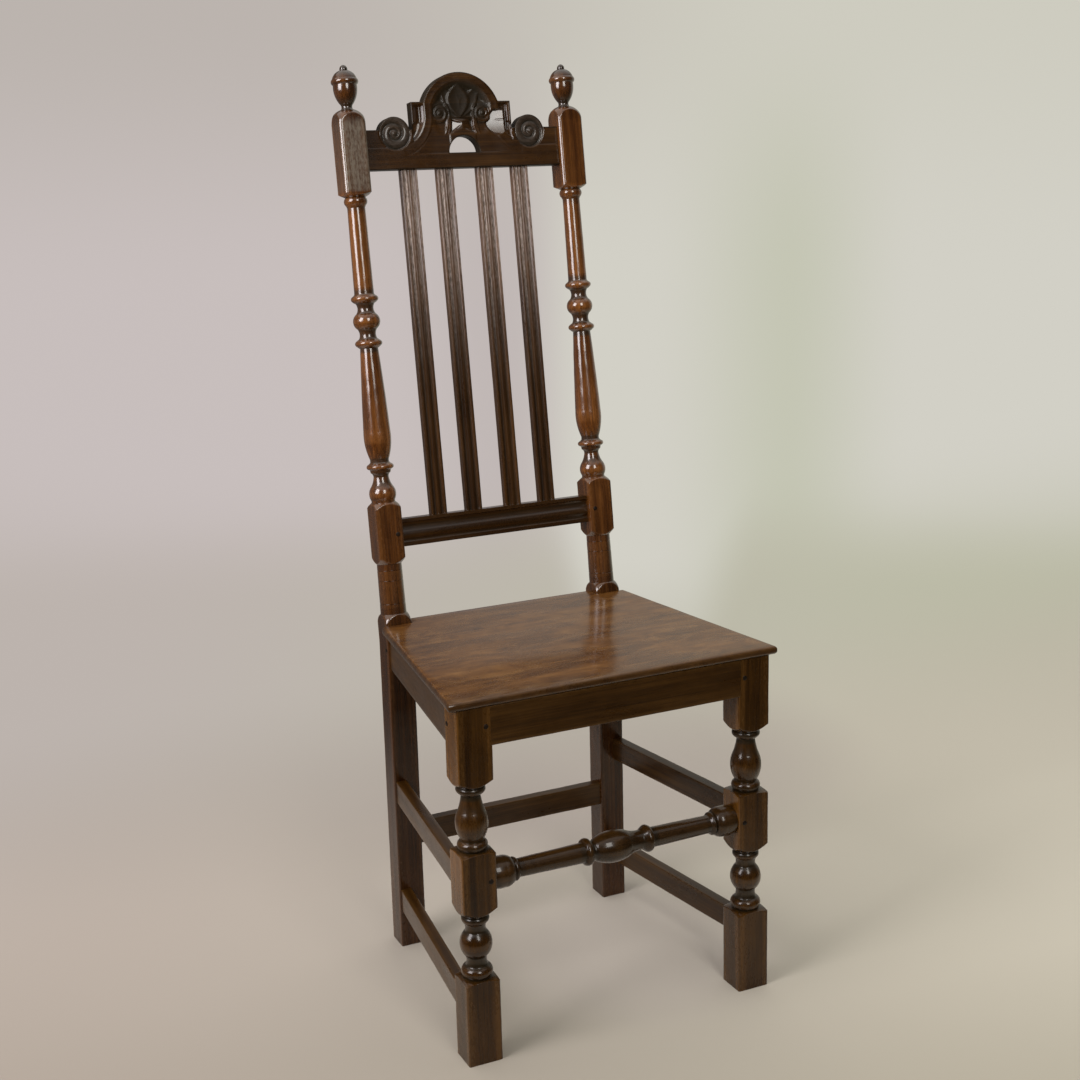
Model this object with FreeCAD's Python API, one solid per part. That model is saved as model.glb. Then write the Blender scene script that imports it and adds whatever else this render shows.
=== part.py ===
import FreeCAD, Part
import os
from math import cos, hypot, radians, sin, tan
from FreeCAD import Vector

# A joined oak side chair with a raked high back. X runs across, Y from front to back, Z up.
# Lengths are millimetres and angles are degrees. The chair is drawn with the front faces of its
# front legs at Y zero. At the end every piece moves forward together, so that the origin lies on
# the floor under the middle of the chair.

# Seat frame
FRONT_WIDTH = 422.0
BACK_WIDTH = 349.0
SIDE_RUN = 323.0
SEAT_HEIGHT = 460.0
RAIL_HEIGHT = 48.0
RAIL_THICKNESS = 22.0
BACK_RAIL_SETBACK = 5.0
SIDE_INSET_FRONT = 1.0
SIDE_INSET_BACK = 2.0

# Seat board
BOARD_THICKNESS = 11.0
BOARD_FRONT_OVERHANG = 2.0
BOARD_SIDE_OVERHANG_FRONT = 10.5
BOARD_SIDE_OVERHANG_BACK = 4.5
BOARD_BACK_TUCK = 23.0
BOARD_NOSE = 4.4
BOARD_GAP = 0.3

# Front legs: square blocks with turned lengths between them
FRONT_LEG_WIDTH = 44.0
FRONT_LEG_DEPTH = 40.0
FOOT_BLOCK_TOP = 104.0
MIDDLE_BLOCK_LENGTH = 69.0
UPPER_BLOCK_LENGTH = 90.0

# Back posts: upright below the seat and raked above it, with the bend under the seat's top
POST_WIDTH = 36.0
POST_DEPTH = 36.5
RAKE = 7.7
KINK_DROP = 26.0

# Heights along the raked post, measured from the kink
SEAT_BLOCK_TOP = 26.0
LOWER_BLOCK_BOTTOM = 112.0
LOWER_BLOCK_TOP = 179.0
TOP_BLOCK_BOTTOM = 591.0
TOP_BLOCK_TOP = 681.0
FINIAL_TOP = 755.5

# Lathe work
TURNING_RELIEF = 0.15
WORN_ARRIS = 0.9
TOP_BLOCK_BEVEL = 2.6

# Lower back rail and splats
LOWER_RAIL_BOTTOM = 124.5
LOWER_RAIL_HEIGHT = 37.0
LOWER_RAIL_THICKNESS = 20.0
LOWER_RAIL_MOULDING = 3.6
BACK_SETBACK = 8.0
SPLAT_WIDTH = 23.0
SPLAT_THICKNESS = 11.0
SPLAT_SETBACK = 5.0
SPLAT_MOULDING = 2.2
INNER_SPLAT_X = 29.0
OUTER_SPLAT_X = 80.5

# Crest rail. Heights are measured from its bottom edge.
CREST_BOTTOM = 619.0
CREST_THICKNESS = 16.0
CREST_BAND_HEIGHT = 20.0
CREST_END_HEIGHT = 51.5
CREST_SQUARE_HALF = 71.5
CREST_SQUARE_HEIGHT = 87.0
CREST_ARCH_HALF = 54.0
CREST_PEAK_HEIGHT = 125.5
CREST_CUT_RADIUS = 22.0
CREST_SINK = 3.6

# Carving on the crest rail
VOLUTE_X = 97.0
VOLUTE_HEIGHT = 47.0
VOLUTE_RADIUS = 21.5
VOLUTE_STEP = 4.6
VOLUTE_HALF_TURNS = 4
VOLUTE_TAIL_RADIUS = 43.0
VOLUTE_EYE = 3.2
HOOD_WIDTH = 13.5
HOOD_HOLLOW = 3.0
HOOD_FILLET = 1.5
BRACKET_HOLLOW = 4.5
BRACKET_LIP = 1.5
BEAD_RADIUS = 1.9
BEAD_SETBACK = 2.8
INNER_VOLUTE_X = 30.5
INNER_VOLUTE_HEIGHT = 73.0
INNER_VOLUTE_RADIUS = 9.0
INNER_VOLUTE_STEP = 2.9
INNER_VOLUTE_HALF_TURNS = 3
INNER_VOLUTE_EYE = 2.2
INNER_BEAD_RADIUS = 1.4
INNER_TAIL_RADIUS = 33.0
INNER_TAIL_SWEEP = 40.0
LEAF_BASE_HEIGHT = 60.0
LEAF_LENGTH = 46.0
LEAF_WIDTH = 9.0
LEAF_BOSS = 4.0

# Stretchers. The upper side stretchers enter the middle blocks. The left ones rise to the front.
SIDE_STRETCHER_HEIGHT = 30.0
SIDE_STRETCHER_THICKNESS = 15.0
UPPER_STRETCHER_LIFT = 13.5
LOWER_STRETCHER_BOTTOM = 54.0
LEFT_STRETCHER_RISE = 12.0
RIGHT_STRETCHER_RISE = 0.0
BACK_STRETCHER_BOTTOM = 144.5
BACK_STRETCHER_HEIGHT = 32.0
BACK_STRETCHER_THICKNESS = 15.0
BACK_STRETCHER_SETBACK = 4.0
FRONT_STRETCHER_HEIGHT = 232.5

# Joints: tenons, mortises and pegs
TENON_THICKNESS = 7.0
TENON_LENGTH = 15.0
TENON_SHOULDER = 5.0
SPLAT_TENON_LENGTH = 11.0
SPLAT_TENON_THICKNESS = 5.0
SPLAT_TENON_SHOULDER = 2.0
ROUND_TENON_RADIUS = 8.0
MORTISE_GAP = 0.2
MORTISE_END_GAP = 1.0
PEG_RADIUS = 3.4
PEG_LENGTH = 20.0
PEG_PROUD = 0.4
PEG_SETBACK = 8.0
PEG_GAP = 0.1

# How far a cutter or a lathe envelope runs past what it cuts
OVERRUN = 5.0

# Places that follow from the sizes above
RAIL_TOP = SEAT_HEIGHT - BOARD_THICKNESS
RAIL_BOTTOM = RAIL_TOP - RAIL_HEIGHT
MIDDLE_BLOCK_BOTTOM = FRONT_STRETCHER_HEIGHT - MIDDLE_BLOCK_LENGTH / 2
MIDDLE_BLOCK_TOP = FRONT_STRETCHER_HEIGHT + MIDDLE_BLOCK_LENGTH / 2
UPPER_BLOCK_BOTTOM = RAIL_TOP - UPPER_BLOCK_LENGTH
UPPER_STRETCHER_BOTTOM = MIDDLE_BLOCK_BOTTOM + UPPER_STRETCHER_LIFT
STRETCHER_BOTTOMS = (UPPER_STRETCHER_BOTTOM, LOWER_STRETCHER_BOTTOM)
KINK_HEIGHT = SEAT_HEIGHT - KINK_DROP
POST_AXIS_X = BACK_WIDTH / 2 - POST_WIDTH / 2
POST_AXIS_Y = SIDE_RUN + POST_DEPTH / 2
POST_INNER_X = BACK_WIDTH / 2 - POST_WIDTH
POST_TURN = POST_WIDTH / 2 - TURNING_RELIEF
POST_CORNER = hypot(POST_WIDTH, POST_DEPTH) / 2
LEG_AXIS_X = FRONT_WIDTH / 2 - FRONT_LEG_WIDTH / 2
LEG_AXIS_Y = FRONT_LEG_DEPTH / 2
LEG_INNER_X = FRONT_WIDTH / 2 - FRONT_LEG_WIDTH
LEG_TURN = FRONT_LEG_DEPTH / 2 - TURNING_RELIEF
LEG_CORNER = hypot(FRONT_LEG_WIDTH, FRONT_LEG_DEPTH) / 2
BACK_FACE = BACK_SETBACK - POST_DEPTH / 2
CREST_GROUND = BACK_FACE + CREST_SINK
CREST_REAR = BACK_FACE + CREST_THICKNESS
BACK_RAIL_AXIS = SIDE_RUN + BACK_RAIL_SETBACK + RAIL_THICKNESS / 2
BACK_STRETCHER_AXIS = SIDE_RUN + BACK_STRETCHER_SETBACK + BACK_STRETCHER_THICKNESS / 2
LOWER_RAIL_AXIS = BACK_FACE + LOWER_RAIL_THICKNESS / 2
LOWER_RAIL_TOP = LOWER_RAIL_BOTTOM + LOWER_RAIL_HEIGHT
CREST_AXIS = BACK_FACE + CREST_THICKNESS / 2
SPLAT_AXIS = BACK_FACE + SPLAT_SETBACK + SPLAT_THICKNESS / 2
SPLAT_PLACES = (-OUTER_SPLAT_X, -INNER_SPLAT_X, INNER_SPLAT_X, OUTER_SPLAT_X)
CREST_BAND_TOP = CREST_BOTTOM + CREST_BAND_HEIGHT
SQUARE_TOP = CREST_BOTTOM + CREST_SQUARE_HEIGHT
ARCH_RISE = CREST_PEAK_HEIGHT - CREST_SQUARE_HEIGHT
ARCH_RADIUS = (CREST_ARCH_HALF ** 2 + ARCH_RISE ** 2) / (2 * ARCH_RISE)
ARCH_CENTRE = CREST_BOTTOM + CREST_PEAK_HEIGHT - ARCH_RADIUS
VOLUTE_Z = CREST_BOTTOM + VOLUTE_HEIGHT
VOLUTE_PATH = VOLUTE_RADIUS - BEAD_SETBACK
TAIL_X = VOLUTE_X - VOLUTE_TAIL_RADIUS
TAIL_Z = VOLUTE_Z - VOLUTE_PATH + VOLUTE_TAIL_RADIUS
CAP_SHARE = 0.710
CAP_HEIGHT = TOP_BLOCK_TOP + (FINIAL_TOP - TOP_BLOCK_TOP) * CAP_SHARE
REAR_REACH = POST_AXIS_Y + CAP_HEIGHT * sin(radians(RAKE)) + POST_TURN * cos(radians(RAKE))
CENTRE_Y = (REAR_REACH - BOARD_FRONT_OVERHANG) / 2

# Turned outlines, from the top of one square block to the bottom of the next. A row is a
# straight ("to", radius, height) or an arc ("arc", radius and height on the way, radius and
# height at its end). Radii are shares of the turning radius, heights of the turned length.
LONG_TURNING_SHARES = (
    ("to", 0.88, 0.018),
    ("to", 0.88, 0.024),
    ("arc", 1.00, 0.040, 0.82, 0.068),
    ("arc", 0.64, 0.084, 0.57, 0.097),
    ("arc", 0.60, 0.107, 0.76, 0.114),
    ("to", 0.84, 0.121),
    ("arc", 1.00, 0.133, 0.84, 0.145),
    ("to", 0.70, 0.148),
    ("to", 0.70, 0.156),
    ("arc", 0.98, 0.205, 1.00, 0.245),
    ("arc", 0.90, 0.345, 0.67, 0.511),
    ("to", 0.84, 0.515),
    ("arc", 1.00, 0.527, 0.84, 0.539),
    ("to", 0.68, 0.542),
    ("arc", 0.60, 0.558, 0.72, 0.573),
    ("arc", 1.00, 0.597, 0.72, 0.621),
    ("arc", 0.59, 0.642, 0.70, 0.654),
    ("to", 0.84, 0.656),
    ("arc", 1.00, 0.668, 0.84, 0.680),
    ("to", 0.72, 0.684),
    ("to", 0.66, 0.955),
    ("to", 0.74, 0.962),
    ("arc", 0.865, 0.975, 0.74, 0.987),
)
LOWER_TURNING_SHARES = (
    ("to", 0.80, 0.040),
    ("arc", 0.98, 0.112, 0.80, 0.180),
    ("to", 0.70, 0.192),
    ("arc", 0.62, 0.262, 0.66, 0.320),
    ("arc", 1.00, 0.490, 0.66, 0.660),
    ("arc", 0.64, 0.735, 0.74, 0.785),
    ("arc", 0.86, 0.832, 0.74, 0.878),
)
UPPER_TURNING_SHARES = (
    ("to", 0.78, 0.035),
    ("arc", 0.93, 0.095, 0.78, 0.155),
    ("to", 0.70, 0.165),
    ("to", 0.74, 0.190),
    ("arc", 1.00, 0.405, 0.82, 0.565),
    ("arc", 0.66, 0.680, 0.59, 0.775),
    ("to", 0.80, 0.812),
    ("arc", 0.90, 0.855, 0.80, 0.897),
)
FINIAL_SHARES = (
    ("arc", 1.14, 0.120, 0.46, 0.232),
    ("arc", 0.39, 0.277, 0.47, 0.325),
    ("arc", 0.79, 0.470, 0.87, 0.655),
    ("to", 0.91, 0.665),
    ("arc", 1.00, CAP_SHARE, 0.90, 0.760),
    ("arc", 0.66, 0.855, 0.28, 0.905),
    ("arc", 0.26, 0.955, 0.00, 1.000),
)
SEAT_BLOCK_SHARES = (
    ("arc", 1.20, 0.080, 0.975, 0.130),
    ("to", 0.963, 0.280),
    ("to", 0.925, 0.287),
    ("to", 0.960, 0.294),
    ("to", 0.946, 0.640),
    ("to", 0.905, 0.647),
    ("to", 0.943, 0.654),
    ("to", 0.940, 0.800),
    ("to", 0.900, 0.807),
    ("to", 0.938, 0.814),
    ("to", 0.930, 0.905),
)

# The front stretcher's turned outline, along half of its length and across its middle
STRETCHER_END_SHARES = (
    ("arc", 0.97, 0.020, 0.97, 0.045),
    ("arc", 0.93, 0.065, 0.78, 0.080),
    ("to", 0.66, 0.083),
    ("arc", 0.74, 0.091, 0.66, 0.099),
    ("to", 0.575, 0.104),
)
STRETCHER_MIDDLE_SHARES = (
    ("to", 0.64, 0.366),
    ("to", 0.78, 0.369),
    ("arc", 0.86, 0.381, 0.78, 0.393),
    ("to", 0.62, 0.397),
    ("arc", 0.59, 0.406, 0.70, 0.416),
    ("arc", 1.00, 0.485, 0.84, 0.545),
    ("arc", 0.68, 0.570, 0.62, 0.596),
    ("to", 0.62, 0.606),
    ("to", 0.78, 0.620),
    ("arc", 0.86, 0.632, 0.78, 0.644),
    ("to", 0.64, 0.648),
    ("to", 0.575, 0.896),
)
STRETCHER_RIM_SHARE = 0.90

# Mouldings. Depths are shares of the moulding's depth, places shares of the width it crosses.
RAIL_MOULDING_SHARES = (
    ("to", 0.00, 0.12),
    ("to", 0.30, 0.13),
    ("arc", 1.00, 0.29, 0.35, 0.46),
    ("arc", 0.00, 0.59, 0.40, 0.72),
    ("to", 0.80, 0.73),
    ("arc", 1.00, 0.80, 0.60, 0.87),
    ("to", 0.60, 1.00),
)
SPLAT_MOULDING_SHARES = (
    ("arc", 0.00, 0.09, 0.50, 0.18),
    ("to", 0.80, 0.20),
    ("arc", 1.00, 0.29, 0.60, 0.38),
    ("arc", 0.25, 0.50, 0.60, 0.62),
    ("arc", 1.00, 0.71, 0.80, 0.80),
    ("to", 0.50, 0.82),
    ("arc", 0.00, 0.91, 0.50, 1.00),
)
SPLAT_EDGE_SHARE = 0.50

# Leaf lobes on the crest: how far each leans to a side, and its length, as shares
LEAF_LEAN = 30.0
LOBE_SHARES = ((-2.0, 0.62), (-1.0, 0.86), (0.0, 1.0), (1.0, 0.86), (2.0, 0.62))
LOBE_OUTLINE_SHARES = (("arc", 1.00, 0.62, 0.00, 1.00),)


# Plain shapes

def box_between(x1, x2, y1, y2, z1, z2):
    return Part.makeBox(x2 - x1, y2 - y1, z2 - z1, Vector(x1, y1, z1))


def disc(x, z, radius, y1, y2):
    """A round plate that faces the front."""
    return Part.makeCylinder(radius, y2 - y1, Vector(x, y1, z), Vector(0, 1, 0))


def prism(points, pull):
    """A flat outline pulled along a vector."""
    return Part.Face(Part.makePolygon(points + [points[0]])).extrude(pull)


def ball(x, z, radius):
    """A ball half sunk in the ground of the carving."""
    return Part.makeSphere(radius, Vector(x, CREST_GROUND, z))


def mirrored(shape):
    """The same piece on the other side of the chair."""
    return shape.mirror(Vector(0, 0, 0), Vector(1, 0, 0))


def joined(shapes):
    whole = shapes[0]
    for shape in shapes[1:]:
        whole = whole.fuse(shape)
    return whole.removeSplitter()


def raked(shape):
    """Lean back what was drawn upright on the post's axis, with height zero at the kink."""
    leant = shape.copy()
    leant.translate(Vector(0, POST_AXIS_Y, KINK_HEIGHT))
    leant.rotate(Vector(0, POST_AXIS_Y, KINK_HEIGHT), Vector(1, 0, 0), -RAKE)
    return leant


# Lathe work

class Outline:
    """Half of a turned outline, drawn upwards in the XZ plane."""

    def __init__(self, radius, height):
        self.edges = []
        self.start = Vector(radius, 0, height)
        self.here = self.start

    def line(self, radius, height):
        end = Vector(radius, 0, height)
        self.edges.append(Part.makeLine(self.here, end))
        self.here = end

    def rows(self, shares, radius, low, length):
        """Follow a table of shares, from the height low."""
        for row in shares:
            points = [Vector(radius * r, 0, low + length * h) for r, h in zip(row[1::2], row[2::2])]
            if row[0] == "arc":
                self.edges.append(Part.Arc(self.here, points[0], points[1]).toShape())
            else:
                self.edges.append(Part.makeLine(self.here, points[0]))
            self.here = points[-1]

    def spun(self):
        """Close the outline on the axis and spin it."""
        top = Vector(0, 0, self.here.z)
        bottom = Vector(0, 0, self.start.z)
        closing = [Part.makeLine(top, bottom), Part.makeLine(bottom, self.start)]
        if self.here.x > 0:
            closing.insert(0, Part.makeLine(self.here, top))
        face = Part.Face(Part.Wire(self.edges + closing))
        return face.revolve(Vector(0, 0, 0), Vector(0, 0, 1), 360)


# Tenons. Each is drawn for the right side, and its mortise is the same shape with a gap.

def cross_tenon(face_x, centre_y, low, high, gap=0.0):
    """A tenon that enters a leg along X, at the face nearer the middle of the chair."""
    end_gap = MORTISE_END_GAP if gap else 0.0
    half = TENON_THICKNESS / 2 + gap
    root = face_x - (OVERRUN if gap else 0.0)
    return box_between(root, face_x + TENON_LENGTH + end_gap, centre_y - half, centre_y + half,
                       low + TENON_SHOULDER - gap, high - TENON_SHOULDER + gap)


def side_x(y):
    """Outer face of the right side's rail and stretchers."""
    front = FRONT_WIDTH / 2 - SIDE_INSET_FRONT
    back = BACK_WIDTH / 2 - SIDE_INSET_BACK
    return front + (back - front) * (y - FRONT_LEG_DEPTH) / (SIDE_RUN - FRONT_LEG_DEPTH)


def side_strip(y1, y2, inset1, inset2, low, high, rise=0.0):
    """A bar that follows the right side, between two insets from its outer face. It is as high as
    low at the back legs and rises from there to the front legs."""
    low1 = low + rise * (SIDE_RUN - y1) / (SIDE_RUN - FRONT_LEG_DEPTH)
    low2 = low + rise * (SIDE_RUN - y2) / (SIDE_RUN - FRONT_LEG_DEPTH)
    points = [Vector(side_x(y1) - inset1, y1, low1), Vector(side_x(y2) - inset1, y2, low2),
              Vector(side_x(y2) - inset2, y2, low2), Vector(side_x(y1) - inset2, y1, low1)]
    return prism(points, Vector(0, 0, high - low))


def side_tenons(low, height, thickness, gap=0.0, rise=0.0):
    """The tenons at the two ends of a side rail or stretcher."""
    inset1 = (thickness - TENON_THICKNESS) / 2 - gap
    inset2 = (thickness + TENON_THICKNESS) / 2 + gap
    bottom = low + TENON_SHOULDER - gap
    top = low + height - TENON_SHOULDER + gap
    reach = TENON_LENGTH + (MORTISE_END_GAP if gap else 0.0)
    front = FRONT_LEG_DEPTH + (OVERRUN if gap else 0.0)
    back = SIDE_RUN - (OVERRUN if gap else 0.0)
    return [side_strip(FRONT_LEG_DEPTH - reach, front, inset1, inset2, bottom, top, rise),
            side_strip(back, SIDE_RUN + reach, inset1, inset2, bottom, top, rise)]


def stretcher_mortises(end, rise):
    """The two side stretchers' mortises in a leg: end is 0 for a front leg and 1 for a post."""
    return [side_tenons(low, SIDE_STRETCHER_HEIGHT, SIDE_STRETCHER_THICKNESS, MORTISE_GAP, rise)[end]
            for low in STRETCHER_BOTTOMS]


def splat_tenons(x, gap=0.0):
    """The tenons at the lower and upper ends of a splat, in the upright frame of the back."""
    half_x = SPLAT_WIDTH / 2 - SPLAT_TENON_SHOULDER + gap
    half_y = SPLAT_TENON_THICKNESS / 2 + gap
    reach = SPLAT_TENON_LENGTH + (MORTISE_END_GAP if gap else 0.0)
    root = OVERRUN if gap else 0.0
    return [box_between(x - half_x, x + half_x, SPLAT_AXIS - half_y, SPLAT_AXIS + half_y,
                        LOWER_RAIL_TOP - reach, LOWER_RAIL_TOP + root),
            box_between(x - half_x, x + half_x, SPLAT_AXIS - half_y, SPLAT_AXIS + half_y,
                        CREST_BOTTOM - root, CREST_BOTTOM + reach)]


def front_stretcher_tenon(gap=0.0):
    reach = TENON_LENGTH + (MORTISE_END_GAP if gap else 0.0)
    root = LEG_INNER_X - (OVERRUN if gap else 0.0)
    return Part.makeCylinder(ROUND_TENON_RADIUS + gap, LEG_INNER_X + reach - root,
                             Vector(root, LEG_AXIS_Y, FRONT_STRETCHER_HEIGHT), Vector(1, 0, 0))


# Pegs. Each is a straight pin from the face of a leg, through a tenon.

def peg(place, inward, gap=0.0):
    start = place - inward * (OVERRUN if gap else PEG_PROUD)
    length = PEG_LENGTH + (OVERRUN if gap else PEG_PROUD)
    return Part.makeCylinder(PEG_RADIUS + gap, length, start, inward)


def front_rail_peg(gap=0.0):
    place = Vector(LEG_INNER_X + PEG_SETBACK, 0, RAIL_TOP - RAIL_HEIGHT / 2)
    return peg(place, Vector(0, 1, 0), gap)


def front_stretcher_peg(gap=0.0):
    place = Vector(LEG_INNER_X + PEG_SETBACK, 0, FRONT_STRETCHER_HEIGHT)
    return peg(place, Vector(0, 1, 0), gap)


def side_rail_peg_front(gap=0.0):
    place = Vector(FRONT_WIDTH / 2, FRONT_LEG_DEPTH - PEG_SETBACK, RAIL_TOP - RAIL_HEIGHT / 2)
    return peg(place, Vector(-1, 0, 0), gap)


def side_rail_peg_back(gap=0.0):
    place = Vector(BACK_WIDTH / 2, SIDE_RUN + PEG_SETBACK, RAIL_TOP - RAIL_HEIGHT / 2)
    return peg(place, Vector(-1, 0, 0), gap)


def lower_rail_peg(gap=0.0):
    """In the upright frame of the back."""
    place = Vector(POST_INNER_X + PEG_SETBACK, -POST_DEPTH / 2, LOWER_RAIL_TOP - LOWER_RAIL_HEIGHT / 2)
    return peg(place, Vector(0, 1, 0), gap)


# Front legs

def front_leg(rise):
    """A front leg, drawn for the right: square stock, less what the lathe took, less its mortises."""
    wide = LEG_CORNER - WORN_ARRIS
    outline = Outline(wide, 0)
    outline.line(wide, FOOT_BLOCK_TOP)
    outline.rows(LOWER_TURNING_SHARES, LEG_TURN, FOOT_BLOCK_TOP,
                 MIDDLE_BLOCK_BOTTOM - FOOT_BLOCK_TOP)
    outline.line(wide, MIDDLE_BLOCK_BOTTOM)
    outline.line(wide, MIDDLE_BLOCK_TOP)
    outline.rows(UPPER_TURNING_SHARES, LEG_TURN, MIDDLE_BLOCK_TOP,
                 UPPER_BLOCK_BOTTOM - MIDDLE_BLOCK_TOP)
    outline.line(wide, UPPER_BLOCK_BOTTOM)
    outline.line(wide, RAIL_TOP)
    turned = outline.spun()
    turned.translate(Vector(LEG_AXIS_X, LEG_AXIS_Y, 0))
    stock = box_between(LEG_INNER_X, FRONT_WIDTH / 2, 0, FRONT_LEG_DEPTH, 0, RAIL_TOP)
    leg = stock.common(turned)
    cutters = [cross_tenon(LEG_INNER_X, RAIL_THICKNESS / 2, RAIL_BOTTOM, RAIL_TOP, MORTISE_GAP),
               side_tenons(RAIL_BOTTOM, RAIL_HEIGHT, RAIL_THICKNESS, MORTISE_GAP)[0],
               front_stretcher_tenon(MORTISE_GAP),
               front_rail_peg(PEG_GAP), front_stretcher_peg(PEG_GAP), side_rail_peg_front(PEG_GAP)]
    return leg.cut(cutters + stretcher_mortises(0, rise))


# Back posts

def post_stock():
    """Square stock of the right post, upright to the kink and raked above it, mitred there."""
    mitre = POST_DEPTH / 2 * tan(radians(RAKE / 2))
    x1 = -POST_WIDTH / 2
    front = -POST_DEPTH / 2
    back = POST_DEPTH / 2
    upright = prism([Vector(x1, front, 0), Vector(x1, back, 0), Vector(x1, back, KINK_HEIGHT - mitre),
                     Vector(x1, front, KINK_HEIGHT + mitre)], Vector(POST_WIDTH, 0, 0))
    upright.translate(Vector(POST_AXIS_X, POST_AXIS_Y, 0))
    leaning = prism([Vector(x1, front, -mitre), Vector(x1, back, mitre), Vector(x1, back, FINIAL_TOP),
                     Vector(x1, front, FINIAL_TOP)], Vector(POST_WIDTH, 0, 0))
    leaning.translate(Vector(POST_AXIS_X, 0, 0))
    return upright, leaning


def post_turning():
    """What the lathe leaves of the leaning part of a post, in the upright frame of the back."""
    wide = POST_CORNER - WORN_ARRIS
    bevelled = POST_CORNER - TOP_BLOCK_BEVEL
    outline = Outline(wide, -POST_DEPTH)
    outline.line(wide, SEAT_BLOCK_TOP)
    outline.rows(SEAT_BLOCK_SHARES, POST_TURN, SEAT_BLOCK_TOP, LOWER_BLOCK_BOTTOM - SEAT_BLOCK_TOP)
    outline.line(wide, LOWER_BLOCK_BOTTOM)
    outline.line(wide, LOWER_BLOCK_TOP)
    outline.rows(LONG_TURNING_SHARES, POST_TURN, LOWER_BLOCK_TOP, TOP_BLOCK_BOTTOM - LOWER_BLOCK_TOP)
    outline.line(bevelled, TOP_BLOCK_BOTTOM)
    outline.line(bevelled, TOP_BLOCK_TOP)
    outline.rows(FINIAL_SHARES, POST_TURN, TOP_BLOCK_TOP, FINIAL_TOP - TOP_BLOCK_TOP)
    turned = outline.spun()
    turned.translate(Vector(POST_AXIS_X, 0, 0))
    return turned


def back_post(rise):
    """A back post, drawn for the right, with its turnings, finial and mortises."""
    upright, leaning = post_stock()
    leaning = leaning.common(post_turning())
    leaning = leaning.cut([
        cross_tenon(POST_INNER_X, LOWER_RAIL_AXIS, LOWER_RAIL_BOTTOM, LOWER_RAIL_TOP, MORTISE_GAP),
        cross_tenon(POST_INNER_X, CREST_AXIS, CREST_BOTTOM, CREST_BOTTOM + CREST_END_HEIGHT,
                    MORTISE_GAP),
        lower_rail_peg(PEG_GAP)])
    post = joined([upright, raked(leaning)])
    cutters = [cross_tenon(POST_INNER_X, BACK_RAIL_AXIS, RAIL_BOTTOM, RAIL_TOP, MORTISE_GAP),
               cross_tenon(POST_INNER_X, BACK_STRETCHER_AXIS, BACK_STRETCHER_BOTTOM,
                           BACK_STRETCHER_BOTTOM + BACK_STRETCHER_HEIGHT, MORTISE_GAP),
               side_tenons(RAIL_BOTTOM, RAIL_HEIGHT, RAIL_THICKNESS, MORTISE_GAP)[1],
               side_rail_peg_back(PEG_GAP)]
    return post.cut(cutters + stretcher_mortises(1, rise))


# Seat

def seat_board():
    """A board with a rounded nose on its front and sides, notched round the two posts."""
    front = -BOARD_FRONT_OVERHANG
    back = SIDE_RUN + BOARD_BACK_TUCK
    x1 = FRONT_WIDTH / 2 + BOARD_SIDE_OVERHANG_FRONT
    x2 = BACK_WIDTH / 2 + BOARD_SIDE_OVERHANG_BACK
    points = [Vector(-x1, front, RAIL_TOP), Vector(x1, front, RAIL_TOP),
              Vector(x2, back, RAIL_TOP), Vector(-x2, back, RAIL_TOP)]
    board = prism(points, Vector(0, 0, BOARD_THICKNESS))
    nosed = [edge for edge in board.Edges
             if edge.BoundBox.ZLength < BOARD_NOSE and edge.BoundBox.YMin < back - BOARD_NOSE]
    board = board.makeFillet(BOARD_NOSE, nosed)
    notch = box_between(POST_INNER_X - BOARD_GAP, BACK_WIDTH, -POST_DEPTH / 2 - BOARD_GAP, SIDE_RUN,
                        -RAIL_HEIGHT, RAIL_HEIGHT)
    return board.cut([raked(notch), mirrored(raked(notch))])


def front_seat_rail():
    body = box_between(-LEG_INNER_X, LEG_INNER_X, 0, RAIL_THICKNESS, RAIL_BOTTOM, RAIL_TOP)
    tenon = cross_tenon(LEG_INNER_X, RAIL_THICKNESS / 2, RAIL_BOTTOM, RAIL_TOP)
    rail = joined([body, tenon, mirrored(tenon)])
    return rail.cut([front_rail_peg(PEG_GAP), mirrored(front_rail_peg(PEG_GAP))])


def back_seat_rail():
    front = SIDE_RUN + BACK_RAIL_SETBACK
    body = box_between(-POST_INNER_X, POST_INNER_X, front, front + RAIL_THICKNESS,
                       RAIL_BOTTOM, RAIL_TOP)
    tenon = cross_tenon(POST_INNER_X, BACK_RAIL_AXIS, RAIL_BOTTOM, RAIL_TOP)
    return joined([body, tenon, mirrored(tenon)])


def side_seat_rail():
    """The right side rail. Its rear shoulder is scribed to the raked face of the post."""
    body = side_strip(FRONT_LEG_DEPTH, SIDE_RUN + BACK_RAIL_SETBACK, 0, RAIL_THICKNESS,
                      RAIL_BOTTOM, RAIL_TOP)
    upright, leaning = post_stock()
    body = body.cut([upright, raked(leaning)])
    rail = joined([body] + side_tenons(RAIL_BOTTOM, RAIL_HEIGHT, RAIL_THICKNESS))
    return rail.cut([side_rail_peg_front(PEG_GAP), side_rail_peg_back(PEG_GAP)])


# Stretchers

def side_stretcher(low, rise):
    """A side stretcher, drawn for the right."""
    body = side_strip(FRONT_LEG_DEPTH, SIDE_RUN, 0, SIDE_STRETCHER_THICKNESS,
                      low, low + SIDE_STRETCHER_HEIGHT, rise)
    return joined([body] + side_tenons(low, SIDE_STRETCHER_HEIGHT, SIDE_STRETCHER_THICKNESS, rise=rise))


def back_stretcher():
    front = SIDE_RUN + BACK_STRETCHER_SETBACK
    top = BACK_STRETCHER_BOTTOM + BACK_STRETCHER_HEIGHT
    body = box_between(-POST_INNER_X, POST_INNER_X, front, front + BACK_STRETCHER_THICKNESS,
                       BACK_STRETCHER_BOTTOM, top)
    tenon = cross_tenon(POST_INNER_X, BACK_STRETCHER_AXIS, BACK_STRETCHER_BOTTOM, top)
    return joined([body, tenon, mirrored(tenon)])


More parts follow.
